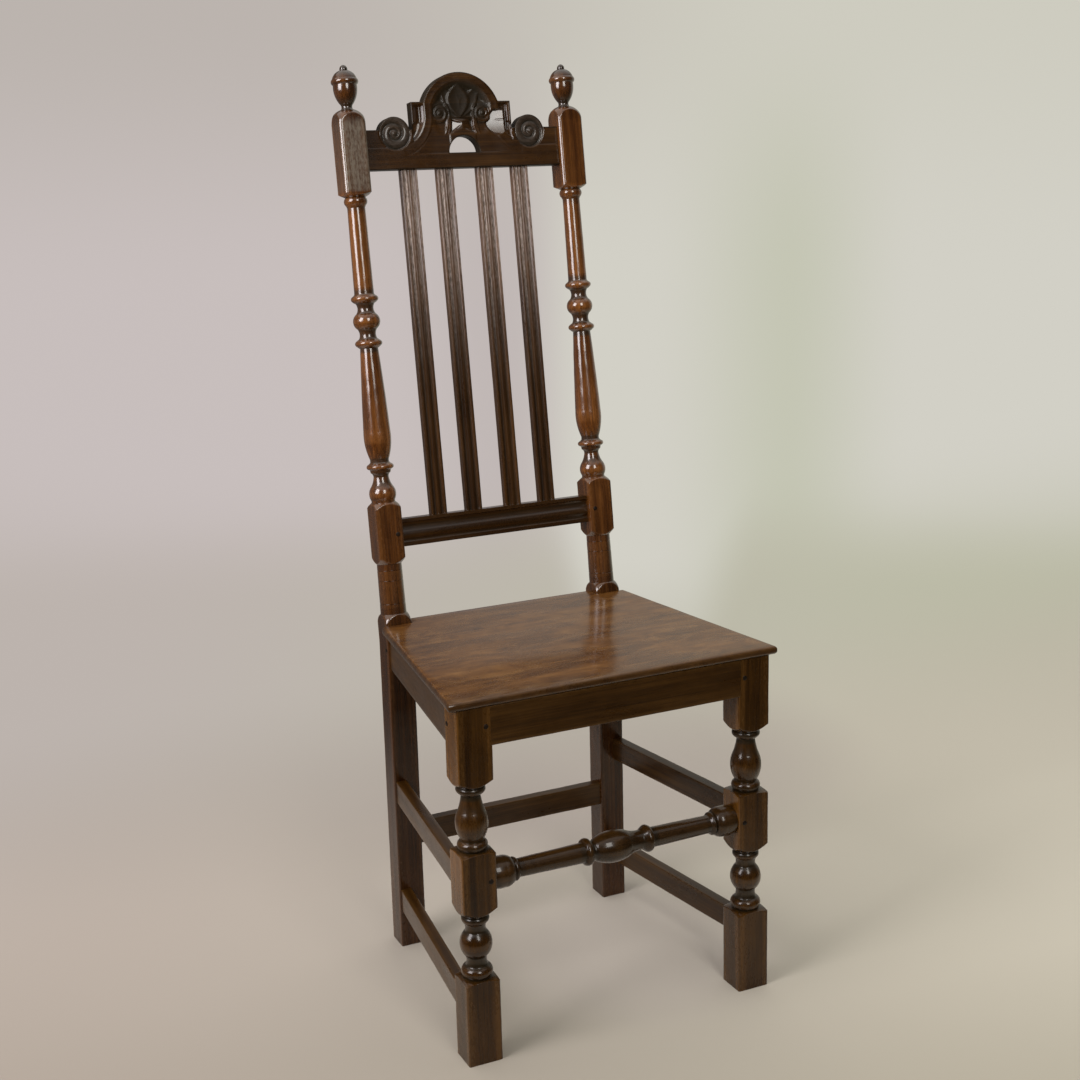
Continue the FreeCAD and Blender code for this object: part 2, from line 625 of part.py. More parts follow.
def front_stretcher():
    """Turned between the middle blocks, with a bell at each leg and a pear in the middle."""
    length = 2 * LEG_INNER_X
    end = Outline(LEG_TURN * STRETCHER_RIM_SHARE, 0)
    end.rows(STRETCHER_END_SHARES, LEG_TURN, 0, length)
    bell = end.spun()
    middle = Outline(end.here.x, end.here.z)
    middle.rows(STRETCHER_MIDDLE_SHARES, LEG_TURN, 0, length)
    shaft = middle.spun()
    far_bell = bell.mirror(Vector(0, 0, LEG_INNER_X), Vector(0, 0, 1))
    turned = joined([bell, shaft, far_bell])
    turned.rotate(Vector(0, 0, 0), Vector(0, 1, 0), 90)
    turned.translate(Vector(-LEG_INNER_X, LEG_AXIS_Y, FRONT_STRETCHER_HEIGHT))
    tenon = front_stretcher_tenon()
    whole = joined([turned, tenon, mirrored(tenon)])
    return whole.cut([front_stretcher_peg(PEG_GAP), mirrored(front_stretcher_peg(PEG_GAP))])


# Mouldings

def moulding_edges(rows, start, place):
    """Edges through a table of shares, each point set by the function place(depth, across)."""
    edges = []
    here = place(start, 0.0)
    for row in rows:
        points = [place(depth, across) for depth, across in zip(row[1::2], row[2::2])]
        if row[0] == "arc":
            edges.append(Part.Arc(here, points[0], points[1]).toShape())
        else:
            edges.append(Part.makeLine(here, points[0]))
        here = points[-1]
    return edges


def lower_back_rail():
    """Moulded along its front face, in the upright frame of the back."""
    rear = BACK_FACE + LOWER_RAIL_THICKNESS
    edges = moulding_edges(RAIL_MOULDING_SHARES, 0.0, lambda depth, across: Vector(
        -POST_INNER_X, BACK_FACE + LOWER_RAIL_MOULDING * depth, LOWER_RAIL_TOP - LOWER_RAIL_HEIGHT * across))
    last = edges[-1].Vertexes[-1].Point
    corners = [last, Vector(-POST_INNER_X, rear, LOWER_RAIL_BOTTOM),
               Vector(-POST_INNER_X, rear, LOWER_RAIL_TOP), edges[0].Vertexes[0].Point]
    edges.extend(Part.makeLine(a, b) for a, b in zip(corners, corners[1:]))
    body = Part.Face(Part.Wire(edges)).extrude(Vector(2 * POST_INNER_X, 0, 0))
    tenon = cross_tenon(POST_INNER_X, LOWER_RAIL_AXIS, LOWER_RAIL_BOTTOM, LOWER_RAIL_TOP)
    rail = joined([body, tenon, mirrored(tenon)])
    cutters = [splat_tenons(x, MORTISE_GAP)[0] for x in SPLAT_PLACES]
    return raked(rail.cut(cutters + [lower_rail_peg(PEG_GAP), mirrored(lower_rail_peg(PEG_GAP))]))


def splat(x):
    """An upright splat with three reeds down its front, in the upright frame of the back."""
    low = LOWER_RAIL_TOP
    front = SPLAT_AXIS - SPLAT_THICKNESS / 2
    rear = SPLAT_AXIS + SPLAT_THICKNESS / 2
    edges = moulding_edges(SPLAT_MOULDING_SHARES, SPLAT_EDGE_SHARE, lambda depth, across: Vector(
        x - SPLAT_WIDTH / 2 + SPLAT_WIDTH * across, front + SPLAT_MOULDING * depth, low))
    corners = [edges[-1].Vertexes[-1].Point, Vector(x + SPLAT_WIDTH / 2, rear, low),
               Vector(x - SPLAT_WIDTH / 2, rear, low), edges[0].Vertexes[0].Point]
    edges.extend(Part.makeLine(a, b) for a, b in zip(corners, corners[1:]))
    body = Part.Face(Part.Wire(edges)).extrude(Vector(0, 0, CREST_BOTTOM - low))
    return raked(joined([body] + splat_tenons(x)))


# Crest rail, in the upright frame of the back. Carved pieces are drawn for the right half.

def crest_blank():
    """The sawn outline of the crest, at the depth of the carving's ground."""
    plates = [
        box_between(-POST_INNER_X, POST_INNER_X, CREST_GROUND, CREST_REAR,
                    CREST_BOTTOM, CREST_BOTTOM + CREST_END_HEIGHT),
        box_between(-CREST_SQUARE_HALF, CREST_SQUARE_HALF, CREST_GROUND, CREST_REAR,
                    CREST_BOTTOM, SQUARE_TOP),
        disc(0, ARCH_CENTRE, ARCH_RADIUS, CREST_GROUND, CREST_REAR),
        disc(VOLUTE_X, VOLUTE_Z, VOLUTE_RADIUS, CREST_GROUND, CREST_REAR),
        disc(-VOLUTE_X, VOLUTE_Z, VOLUTE_RADIUS, CREST_GROUND, CREST_REAR)]
    return joined(plates)


def crest_plain_faces():
    """The uncarved band along the bottom and the plain ends, at full thickness."""
    top = CREST_BOTTOM + CREST_END_HEIGHT
    end_x = VOLUTE_X + VOLUTE_RADIUS
    band = box_between(-POST_INNER_X, POST_INNER_X, BACK_FACE, CREST_GROUND,
                       CREST_BOTTOM, CREST_BAND_TOP)
    end = box_between(end_x, POST_INNER_X, BACK_FACE, CREST_GROUND, CREST_BOTTOM, top)
    return [band, end, mirrored(end)]


def crest_opening():
    """The half round opening above the band."""
    hole = disc(0, CREST_BAND_TOP, CREST_CUT_RADIUS, BACK_FACE - OVERRUN, CREST_REAR + OVERRUN)
    above = box_between(-CREST_SQUARE_HALF, CREST_SQUARE_HALF, BACK_FACE - OVERRUN, CREST_REAR + OVERRUN,
                        CREST_BAND_TOP, SQUARE_TOP)
    return hole.common(above)


def crest_hood():
    """A raised arch with a hollow run round it."""
    upper = box_between(-CREST_SQUARE_HALF, CREST_SQUARE_HALF, BACK_FACE - OVERRUN, CREST_GROUND,
                        TAIL_Z, ARCH_CENTRE + ARCH_RADIUS + OVERRUN)
    ring = disc(0, ARCH_CENTRE, ARCH_RADIUS, BACK_FACE, CREST_GROUND)
    ring = ring.cut(disc(0, ARCH_CENTRE, ARCH_RADIUS - HOOD_WIDTH, BACK_FACE, CREST_GROUND))
    half = HOOD_WIDTH / 2 - HOOD_FILLET
    gouge = (half ** 2 + HOOD_HOLLOW ** 2) / (2 * HOOD_HOLLOW)
    run = Part.makeTorus(ARCH_RADIUS - HOOD_WIDTH / 2, gouge,
                         Vector(0, BACK_FACE - gouge + HOOD_HOLLOW, ARCH_CENTRE), Vector(0, 1, 0))
    return ring.common(upper).cut(run)


def crest_bracket():
    """The square corner beside the hood, hollowed towards the scroll's tail."""
    above = box_between(TAIL_X, CREST_SQUARE_HALF, BACK_FACE, CREST_GROUND, TAIL_Z, SQUARE_TOP)
    below = box_between(TAIL_X, CREST_SQUARE_HALF, BACK_FACE, CREST_GROUND, CREST_BAND_TOP, TAIL_Z)
    sweep = disc(VOLUTE_X, TAIL_Z, VOLUTE_TAIL_RADIUS, BACK_FACE, CREST_GROUND)
    half = (CREST_SQUARE_HALF - TAIL_X) / 2 - BRACKET_LIP
    gouge = (half ** 2 + BRACKET_HOLLOW ** 2) / (2 * BRACKET_HOLLOW)
    middle = (CREST_SQUARE_HALF + TAIL_X) / 2
    run = Part.makeCylinder(gouge, SQUARE_TOP - BRACKET_LIP - CREST_BAND_TOP,
                            Vector(middle, BACK_FACE - gouge + BRACKET_HOLLOW, CREST_BAND_TOP))
    return joined([above, below.common(sweep)]), run


def at_ground(x, z):
    return Vector(x, CREST_GROUND, z)


def arc_edge(centre_x, centre_z, radius, start, sweep):
    """An arc on the ground of the carving. Angles are degrees, anticlockwise from X."""
    points = [at_ground(centre_x + radius * cos(radians(a)), centre_z + radius * sin(radians(a)))
              for a in (start, start + sweep / 2, start + sweep)]
    return Part.Arc(*points).toShape()


def scroll_turns(x, z, radius, step, start, sweep, turns):
    """Half circles that wind inwards from a circle's point at the angle start."""
    edges = []
    centre = x
    middle = z
    angle = start
    for _ in range(turns):
        edges.append(arc_edge(centre, middle, radius, angle, sweep))
        angle += sweep
        centre += step * cos(radians(angle))
        middle += step * sin(radians(angle))
        radius -= step
    return edges


def bead(edges, radius):
    """A round bead along a run of edges, half of it in the ground."""
    first = edges[0]
    start = first.valueAt(first.FirstParameter)
    heading = first.tangentAt(first.FirstParameter)
    section = Part.Wire(Part.makeCircle(radius, start, heading))
    return Part.Wire(edges).makePipeShell([section], True, False)


def outer_scroll():
    """From the hood down beside the bracket, under the volute and round into its eye."""
    edges = [Part.makeLine(at_ground(TAIL_X, SQUARE_TOP - BEAD_SETBACK), at_ground(TAIL_X, TAIL_Z)),
             arc_edge(VOLUTE_X, TAIL_Z, VOLUTE_TAIL_RADIUS, 180, 90)]
    edges.extend(scroll_turns(VOLUTE_X, VOLUTE_Z, VOLUTE_PATH, VOLUTE_STEP, -90, 180, VOLUTE_HALF_TURNS))
    return bead(edges, BEAD_RADIUS), ball(VOLUTE_X, VOLUTE_Z + VOLUTE_STEP / 2, VOLUTE_EYE)


def inner_scroll():
    """From the band, round the opening and up into a small volute beside the leaf."""
    volute_z = CREST_BOTTOM + INNER_VOLUTE_HEIGHT
    rise_x = INNER_VOLUTE_X - INNER_VOLUTE_RADIUS
    sweep = INNER_TAIL_SWEEP
    joint_x = INNER_TAIL_RADIUS * cos(radians(sweep))
    joint_z = CREST_BAND_TOP + INNER_TAIL_RADIUS * sin(radians(sweep))
    ease = (joint_x - rise_x) / (1 - cos(radians(sweep)))
    ease_z = joint_z + ease * sin(radians(sweep))
    edges = [arc_edge(0, CREST_BAND_TOP, INNER_TAIL_RADIUS, 0, sweep),
             arc_edge(rise_x + ease, ease_z, ease, 180 + sweep, -sweep),
             Part.makeLine(at_ground(rise_x, ease_z), at_ground(rise_x, volute_z))]
    edges.extend(scroll_turns(INNER_VOLUTE_X, volute_z, INNER_VOLUTE_RADIUS, INNER_VOLUTE_STEP,
                              180, -180, INNER_VOLUTE_HALF_TURNS))
    eye = ball(INNER_VOLUTE_X + INNER_VOLUTE_STEP / 2, volute_z, INNER_VOLUTE_EYE)
    return bead(edges, INNER_BEAD_RADIUS), eye


def leaf():
    """Lobes that spread from a boss over the opening."""
    base = at_ground(0, CREST_BOTTOM + LEAF_BASE_HEIGHT)
    pieces = [ball(0, base.z, LEAF_BOSS)]
    for lean, length in LOBE_SHARES:
        outline = Outline(0, 0)
        outline.rows(LOBE_OUTLINE_SHARES, LEAF_WIDTH / 2, 0, LEAF_LENGTH * length)
        face = Part.Face(Part.Wire(outline.edges + [Part.makeLine(outline.here, outline.start)]))
        lobe = face.revolve(Vector(0, 0, 0), Vector(0, 0, 1), 360)
        lobe.translate(base)
        lobe.rotate(base, Vector(0, 1, 0), lean * LEAF_LEAN)
        pieces.append(lobe)
    return pieces


def crest_rail():
    bracket, bracket_run = crest_bracket()
    scrolls = list(outer_scroll()) + list(inner_scroll())
    raised = crest_plain_faces() + [crest_hood(), bracket, mirrored(bracket)]
    body = joined([crest_blank()] + raised)
    body = body.cut([bracket_run, mirrored(bracket_run)])
    carved = joined([body] + scrolls + [mirrored(piece) for piece in scrolls] + leaf())
    in_front = box_between(-FRONT_WIDTH, FRONT_WIDTH, BACK_FACE, CREST_REAR, CREST_BOTTOM, FINIAL_TOP)
    carved = carved.common(in_front).cut(crest_opening())
    tenon = cross_tenon(POST_INNER_X, CREST_AXIS, CREST_BOTTOM, CREST_BOTTOM + CREST_END_HEIGHT)
    rail = joined([carved, tenon, mirrored(tenon)])
    return raked(rail.cut([splat_tenons(x, MORTISE_GAP)[1] for x in SPLAT_PLACES]))


def both_sides(*pins):
    """Matching pins on the two sides, as one group of separate solids."""
    return Part.makeCompound([shape for pin in pins for shape in (pin, mirrored(pin))])


def chair():
    """Every piece by its name. Left is the viewer's left, from the front."""
    rail = side_seat_rail()
    left = LEFT_STRETCHER_RISE
    right = RIGHT_STRETCHER_RISE
    pieces = {
        "right_front_leg": front_leg(right),
        "left_front_leg": mirrored(front_leg(left)),
        "right_back_post": back_post(right),
        "left_back_post": mirrored(back_post(left)),
        "right_seat_rail": rail,
        "left_seat_rail": mirrored(rail),
        "front_seat_rail": front_seat_rail(),
        "back_seat_rail": back_seat_rail(),
        "seat_board": seat_board(),
        "right_upper_stretcher": side_stretcher(UPPER_STRETCHER_BOTTOM, right),
        "left_upper_stretcher": mirrored(side_stretcher(UPPER_STRETCHER_BOTTOM, left)),
        "right_lower_stretcher": side_stretcher(LOWER_STRETCHER_BOTTOM, right),
        "left_lower_stretcher": mirrored(side_stretcher(LOWER_STRETCHER_BOTTOM, left)),
        "front_stretcher": front_stretcher(),
        "back_stretcher": back_stretcher(),
        "lower_back_rail": lower_back_rail(),
        "crest_rail": crest_rail(),
        "front_rail_pegs": both_sides(front_rail_peg()),
        "front_stretcher_pegs": both_sides(front_stretcher_peg()),
        "side_rail_pegs": both_sides(side_rail_peg_front(), side_rail_peg_back()),
        "lower_back_rail_pegs": both_sides(raked(lower_rail_peg())),
    }
    for number, x in enumerate(SPLAT_PLACES, 1):
        pieces["splat_" + str(number)] = splat(x)
    return pieces


os.makedirs("parts", exist_ok=True)
for name, shape in chair().items():
    placed = shape.copy()
    placed.translate(Vector(0, -CENTRE_Y, 0))
    placed.exportStep("parts/" + name + ".step")
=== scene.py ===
from math import atan2, cos, degrees, hypot, pi, radians, sin

import bmesh
import bpy
import numpy as np
from mathutils import Matrix, Vector


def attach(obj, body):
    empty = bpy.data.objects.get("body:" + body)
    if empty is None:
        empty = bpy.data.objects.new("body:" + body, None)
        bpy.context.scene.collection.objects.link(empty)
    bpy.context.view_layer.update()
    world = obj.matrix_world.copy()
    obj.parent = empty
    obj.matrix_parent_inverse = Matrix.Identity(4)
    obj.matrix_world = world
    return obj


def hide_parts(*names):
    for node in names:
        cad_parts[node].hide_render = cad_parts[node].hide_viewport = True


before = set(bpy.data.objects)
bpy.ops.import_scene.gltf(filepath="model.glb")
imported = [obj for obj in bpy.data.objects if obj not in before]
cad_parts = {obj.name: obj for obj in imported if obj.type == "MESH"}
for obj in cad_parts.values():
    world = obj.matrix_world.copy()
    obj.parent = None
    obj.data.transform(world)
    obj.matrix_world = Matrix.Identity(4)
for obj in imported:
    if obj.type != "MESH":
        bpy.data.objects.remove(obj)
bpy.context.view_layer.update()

# A joined oak side chair. Lengths here are millimetres in the source's frame: X across, Y back
# from the front faces of the front legs, Z up. put() turns them into the row frame's metres.
MM = 0.001
FRONT_WIDTH, BACK_WIDTH, SIDE_RUN, SEAT_HEIGHT = 422.0, 349.0, 323.0, 460.0
LEG_W, LEG_D = 44.0, 40.0
POST_W, POST_D = 36.0, 36.5
RAKE, KINK = radians(7.7), 434.0
TURNING_GAP, CORNER_TRIM, TOP_TRIM, BEND_RUN = 0.15, 0.9, 1.7, 3.2
LEG_TURN = LEG_D / 2 - TURNING_GAP
POST_TURN = POST_W / 2 - TURNING_GAP
LEG_X, LEG_IN = FRONT_WIDTH / 2 - LEG_W / 2, FRONT_WIDTH / 2 - LEG_W
POST_X, POST_IN = BACK_WIDTH / 2 - POST_W / 2, BACK_WIDTH / 2 - POST_W
LEG_Y, POST_Y = LEG_D / 2, SIDE_RUN + POST_D / 2

# Levels of the turnings, up a leg from the floor and up a post from the kink
FOOT_TOP, LEG_BLOCK_LOW, LEG_BLOCK_TOP, HEAD_LOW = 104.0, 198.0, 267.0, 359.0
COLLAR_LOW, COLLAR_TOP, POST_BLOCK_TOP = 26.0, 112.0, 179.0
TOP_BLOCK_LOW, TOP_BLOCK_TOP, FINIAL_TOP = 591.0, 681.0, 755.5

# How far apart the points of an outline are
PLAIN_STEP, BLOCK_STEP, TURNED_STEP, FINE_STEP = 3.0, 2.0, 0.8, 0.6

# Seat frame and stretchers
BOARD_THICKNESS, BOARD_LIP, BOARD_TAIL, FRONT_OVERHANG, BACK_OVERHANG = 11.0, 2.0, 23.0, 10.5, 4.5
NOSING, NOTCH_GAP, SMALL_ARRIS, BOARD_GRID = 4.2, 0.3, 0.8, 12
RAIL_HEIGHT, RAIL_THICKNESS, RAIL_SET, RAIL_REACH = 48.0, 22.0, 5.0, 3.0
RAIL_TOP = SEAT_HEIGHT - BOARD_THICKNESS
RAIL_BOTTOM = RAIL_TOP - RAIL_HEIGHT
STRETCHER_THICKNESS, STRETCHER_HEIGHT, UPPER_LOW, LOWER_LOW, LEFT_RISE = 15.0, 30.0, 211.5, 54.0, 12.0
BACK_STRETCHER_LOW, BACK_STRETCHER_HEIGHT, BACK_STRETCHER_SET = 144.5, 32.0, 4.0
FRONT_STRETCHER_Z = 232.5
SIDE_SET_FRONT, SIDE_SET_BACK = 1.0, 2.0
ARRIS, JOINT_REACH, FINE_ARRIS = 0.9, 2.0, 0.8

# Back: depths are from the posts' raked axis, and levels are up it from the kink
BACK_FACE = 8.0 - POST_D / 2
LOWER_RAIL_TOP, LOWER_RAIL_WIDTH, LOWER_RAIL_THICKNESS, LOWER_RAIL_RELIEF = 161.5, 37.0, 20.0, 3.6
SPLAT_LOW, SPLAT_TOP, SPLAT_WIDTH, SPLAT_THICKNESS, SPLAT_RELIEF = 159.5, 621.0, 23.0, 11.0, 2.2
SPLAT_FACE = BACK_FACE + 5.0
SPLAT_MIDDLES = (-80.5, -29.0, 29.0, 80.5)
PEG_INSET, PEG_LEVEL = 8.0, 143.0

# The row frame's origin is midway between the board's front edge and the back of the finials
FINIAL_WIDEST = TOP_BLOCK_TOP + (FINIAL_TOP - TOP_BLOCK_TOP) * 0.710
CENTRE_Y = (POST_Y + FINIAL_WIDEST * sin(RAKE) + POST_TURN * cos(RAKE) - BOARD_LIP) / 2

# Turnings and mouldings. A row of two numbers is a line's end, and one of four an arc's middle
# point and end, each as a share of the radius or relief and a share of the height or width.
LONG_TURNING = (
    (0.88, 0.018), (0.88, 0.024), (1.00, 0.040, 0.82, 0.068),
    (0.64, 0.084, 0.57, 0.097), (0.60, 0.107, 0.74, 0.113), (0.78, 0.122),
    (0.95, 0.126), (1.01, 0.132, 0.95, 0.138), (0.78, 0.143),
    (0.70, 0.147), (0.70, 0.156), (0.98, 0.205, 1.00, 0.245),
    (0.90, 0.345, 0.67, 0.511), (0.80, 0.515), (0.94, 0.520),
    (1.01, 0.527, 0.94, 0.534), (0.78, 0.539), (0.68, 0.542),
    (0.60, 0.558, 0.72, 0.573), (1.00, 0.597, 0.72, 0.621),
    (0.59, 0.642, 0.70, 0.654), (0.80, 0.656), (0.94, 0.661),
    (1.01, 0.668, 0.94, 0.675), (0.78, 0.680), (0.72, 0.684),
    (0.66, 0.955), (0.74, 0.962), (0.865, 0.975, 0.74, 0.987),
)
LOWER_TURNING = (
    (0.80, 0.040), (0.98, 0.112, 0.80, 0.180), (0.70, 0.192),
    (0.62, 0.262, 0.66, 0.320), (1.00, 0.490, 0.66, 0.660),
    (0.64, 0.735, 0.74, 0.785), (0.86, 0.832, 0.74, 0.878),
)
UPPER_TURNING = (
    (0.78, 0.035), (0.93, 0.095, 0.78, 0.155), (0.70, 0.165), (0.74, 0.190),
    (1.00, 0.405, 0.82, 0.565), (0.66, 0.680, 0.59, 0.775), (0.80, 0.812),
    (0.90, 0.855, 0.80, 0.897),
)
FINIAL = (
    (1.14, 0.120, 0.46, 0.232), (0.39, 0.277, 0.47, 0.325),
    (0.79, 0.470, 0.87, 0.655), (0.91, 0.665), (1.00, 0.710, 0.90, 0.760),
    (0.66, 0.855, 0.28, 0.905), (0.26, 0.955, 0.02, 1.000),
)
COLLAR = (
    (1.20, 0.080, 0.975, 0.130), (0.963, 0.280), (0.925, 0.287), (0.960, 0.294),
    (0.946, 0.640), (0.905, 0.647), (0.943, 0.654), (0.940, 0.800),
    (0.900, 0.807), (0.938, 0.814), (0.930, 0.905),
)
STRETCHER_END = (
    (0.97, 0.020, 0.97, 0.045), (0.93, 0.065, 0.78, 0.080), (0.66, 0.083),
    (0.74, 0.091, 0.66, 0.099), (0.575, 0.104),
)
STRETCHER_MIDDLE = (
    (0.64, 0.366), (0.78, 0.369), (0.86, 0.381, 0.78, 0.393), (0.62, 0.397),
    (0.59, 0.406, 0.70, 0.416), (1.00, 0.485, 0.84, 0.545),
    (0.68, 0.570, 0.62, 0.596), (0.62, 0.606), (0.78, 0.620),
    (0.86, 0.632, 0.78, 0.644), (0.64, 0.648), (0.575, 0.896),
)
RAIL_MOULDING = (
    (0.00, 0.12), (0.30, 0.13), (1.00, 0.29, 0.35, 0.46),
    (0.00, 0.59, 0.40, 0.72), (0.80, 0.73), (1.00, 0.80, 0.60, 0.87),
    (0.60, 1.00),
)
SPLAT_MOULDING = (
    (0.00, 0.09, 0.50, 0.18), (0.80, 0.20), (1.00, 0.29, 0.60, 0.38),
    (0.25, 0.50, 0.60, 0.62), (1.00, 0.71, 0.80, 0.80), (0.50, 0.82),
    (0.00, 0.91, 0.50, 1.00),
)


# Curves and noise

def arc_points(a, b, c, count):
    """Points on the circle from a through b to c, without a."""
    (x1, y1), (x2, y2), (x3, y3) = a, b, c
    d = 2 * (x1 * (y2 - y3) + x2 * (y3 - y1) + x3 * (y1 - y2))
    q1, q2, q3 = x1 * x1 + y1 * y1, x2 * x2 + y2 * y2, x3 * x3 + y3 * y3
    cx = (q1 * (y2 - y3) + q2 * (y3 - y1) + q3 * (y1 - y2)) / d
    cy = (q1 * (x3 - x2) + q2 * (x1 - x3) + q3 * (x2 - x1)) / d
    r = hypot(x1 - cx, y1 - cy)
    t1, t2, t3 = (atan2(y - cy, x - cx) for x, y in (a, b, c))
    sweep = (t3 - t1) % (2 * pi)
    if (t2 - t1) % (2 * pi) > sweep:
        sweep -= 2 * pi
    turns = [t1 + sweep * i / count for i in range(1, count + 1)]
    return [(cx + r * cos(turn), cy + r * sin(turn)) for turn in turns]


def line_points(a, b, count):
    """Points on the line from a to b, without a."""
    return [(a[0] + (b[0] - a[0]) * i / count, a[1] + (b[1] - a[1]) * i / count)
            for i in range(1, count + 1)]


def straight(points, radius, height, step):
    """Carry an outline on to a point, with samples about step apart."""
    reach = hypot(radius - points[-1][0], height - points[-1][1])
    points += line_points(points[-1], (radius, height), max(1, int(reach / step)))


def shaped(points, rows, radius, low, top, step=TURNED_STEP):
    """Carry an outline on through a table of lines and arcs, whose heights are shares of low to top."""
    for row in rows:
        here = points[-1]
        ends = [(r * radius, low + h * (top - low)) for r, h in zip(row[::2], row[1::2])]
        reach = sum(hypot(b[0] - a[0], b[1] - a[1]) for a, b in zip([here] + ends, ends))
        curve = arc_points if len(ends) == 2 else line_points
        points += curve(here, *ends, max(2, int(reach / step)))


def waves(points, seed, lengths):
    """Smooth noise from -1 to 1 at each point, as sums of sines whose wave lengths are given."""
    rng = np.random.default_rng(seed)
    total = np.zeros(points.shape[:-1])
    for length in lengths:
        for _ in range(3):
            way = rng.normal(size=points.shape[-1])
            way *= 2 * pi / length / np.linalg.norm(way)
            total += np.sin(points @ way + rng.uniform(0, 2 * pi))
    return total / (3 * len(lengths))


def smooth(x, a, b):
    """A soft step from 0 at a to 1 at b."""
    t = np.clip((x - a) / (b - a), 0, 1)
    return t * t * (3 - 2 * t)


# Placing

def joined(x, y, z):
    """Points from their coordinates, each a number or an array."""
    return np.stack(np.broadcast_arrays(x, y, z), -1)


def rake(points):
    """Lean back points drawn upright on the posts' axis, with height zero at the kink."""
    x, y, s = points[..., 0], points[..., 1], points[..., 2]
    return joined(x, POST_Y + y * cos(RAKE) + s * sin(RAKE), KINK + s * cos(RAKE) - y * sin(RAKE))


def put(points):
    """Millimetres in the source's frame as metres in the row frame."""
    return (points - np.array([0.0, CENTRE_Y, 0.0])) * MM


# Meshes. Marks are numbers at each point that the oak reads: how deep it lies in a hollow, which
# darkens it as dark patina together with painted shade; how worn it is; how scuffed, which is partly
# painted sheen; how light its stain, which on some pieces is painted light and shade; and how thick its wax.

PLAIN_MARKS = {"hollow": 0.0, "wear": 0.0, "scuff": 0.0, "tone": 1.0, "polish": 1.0}


def fill(mesh, points, faces):
    """Give a mesh its points and its quads and triangles."""
    mesh.vertices.add(len(points))
    mesh.vertices.foreach_set("co", points.ravel())
    loops = np.concatenate([face.ravel() for face in faces]).astype(np.int32)
    mesh.loops.add(len(loops))
    mesh.loops.foreach_set("vertex_index", loops)
    sizes = np.concatenate([np.full(len(face), corners) for face, corners in zip(faces, (4, 3))])
    starts = np.cumsum(sizes) - sizes
    mesh.polygons.add(len(starts))
    mesh.polygons.foreach_set("loop_start", starts.astype(np.int32))
    mesh.update(calc_edges=True)
    mesh.validate()


def add_piece(node_name, slot, points, quads, tris, grain, sharp=40.0, **marks):
    """Make the wood of a CAD node. grain holds each point's place in its timber: along the fibres,
    then across them."""
    name = node_name + "_wood"
    mesh = bpy.data.meshes.new(name)
    fill(mesh, put(points), (np.asarray(quads).reshape(-1, 4), np.asarray(tris).reshape(-1, 3)))
    rng = np.random.default_rng(sum(map(ord, name)))
    grain = grain * MM + rng.uniform(-3, 3, 3)
    mesh.attributes.new("grain", "FLOAT_VECTOR", "POINT").data.foreach_set("vector", grain.ravel())
    for label, plain in PLAIN_MARKS.items():
        values = np.full(len(points), plain)
        values[:] = marks.get(label, plain)
        mesh.attributes.new(label, "FLOAT", "POINT").data.foreach_set("value", values)
    mesh.polygons.foreach_set("use_smooth", np.ones(len(mesh.polygons), bool))
    mesh.set_sharp_from_angle(angle=radians(sharp))
    mesh.materials.append(MATERIALS[slot])
    piece = bpy.data.objects.new(name, mesh)
    bpy.context.scene.collection.objects.link(piece)
    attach(piece, "root")
    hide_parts(node_name)
    return piece


def skin(rows, columns, flip=False):
    """Quads round a tube of rows by columns."""
    index = np.arange(rows * columns).reshape(rows, columns)
    right = np.roll(index, -1, axis=1)
    quads = np.stack([index[:-1], right[:-1], right[1:], index[1:]], -1).reshape(-1, 4)
    return quads[:, ::-1] if flip else quads


def tube(rows, columns):
    """Quads round a tube, and fans over its ends to the middle points that with_ends adds."""
    ring = np.arange(columns)
    after = np.roll(ring, -1)
    first, top = rows * columns, (rows - 1) * columns
    low = np.stack([np.full(columns, first), after, ring], -1)
    high = np.stack([np.full(columns, first + 1), ring + top, after + top], -1)
    return skin(rows, columns), np.concatenate([low, high])


def with_ends(points):
    """A tube's points as one list, with the middle of each end last."""
    return np.concatenate([points.reshape(-1, 3), points[0].mean(0)[None], points[-1].mean(0)[None]])


def turned(profile, half_x, half_y, seed, around=104):
    """A length of square stock less what the lathe took, upright on the Z axis. Returns points by
    row, how deep each lies in a hollow (which the oak darkens as dark patina together with painted
    shade), how worn it is, and whether it lies on a flat of the stock."""
    squareness, crease, middle = 26.0, 6.0, 20.0
    profile = np.array(profile)
    radius, height = profile[:, 0], profile[:, 1]
    t = np.linspace(0, 2 * pi, around, endpoint=False)
    theta = t + 0.12 * np.sin(4 * t)
    square = (np.abs(np.cos(theta) / half_x) ** squareness
              + np.abs(np.sin(theta) / half_y) ** squareness) ** (-1 / squareness)
    lathe = radius[:, None] * np.ones(around)
    both = np.exp(-crease * (square - middle)) + np.exp(-crease * (lathe - middle))
    r = np.minimum(-np.log(both) / crease + middle, np.minimum(square, lathe))
    r = np.maximum(r, 0.05)
    points = joined(r * np.cos(theta), r * np.sin(theta), height[:, None])
    flat = smooth(lathe - square, 0.0, 1.5)
    drift = waves(points, seed, (160.0, 60.0)) * (0.18 + 0.22 * flat)
    drift = drift + waves(points, seed + 1, (14.0,)) * 0.07
    points[..., :2] *= (1 + drift / np.maximum(r, 6.0))[..., None] - 0.004
    reach = np.array([np.max(np.minimum(radius, half_x)[np.abs(height - h) < 9.0]) for h in height])
    hollow = smooth(reach[:, None] - np.minimum(lathe, half_x), 1.0, 6.0) * (1 - flat) * 0.80
    corner = smooth(r / np.minimum(half_x, half_y), 1.16, 1.30)
    crown = smooth(r / reach[:, None], 0.965, 1.0) * (1 - flat) * 0.5
    return points, hollow, np.maximum(corner * flat, crown), flat


# Shader nodes

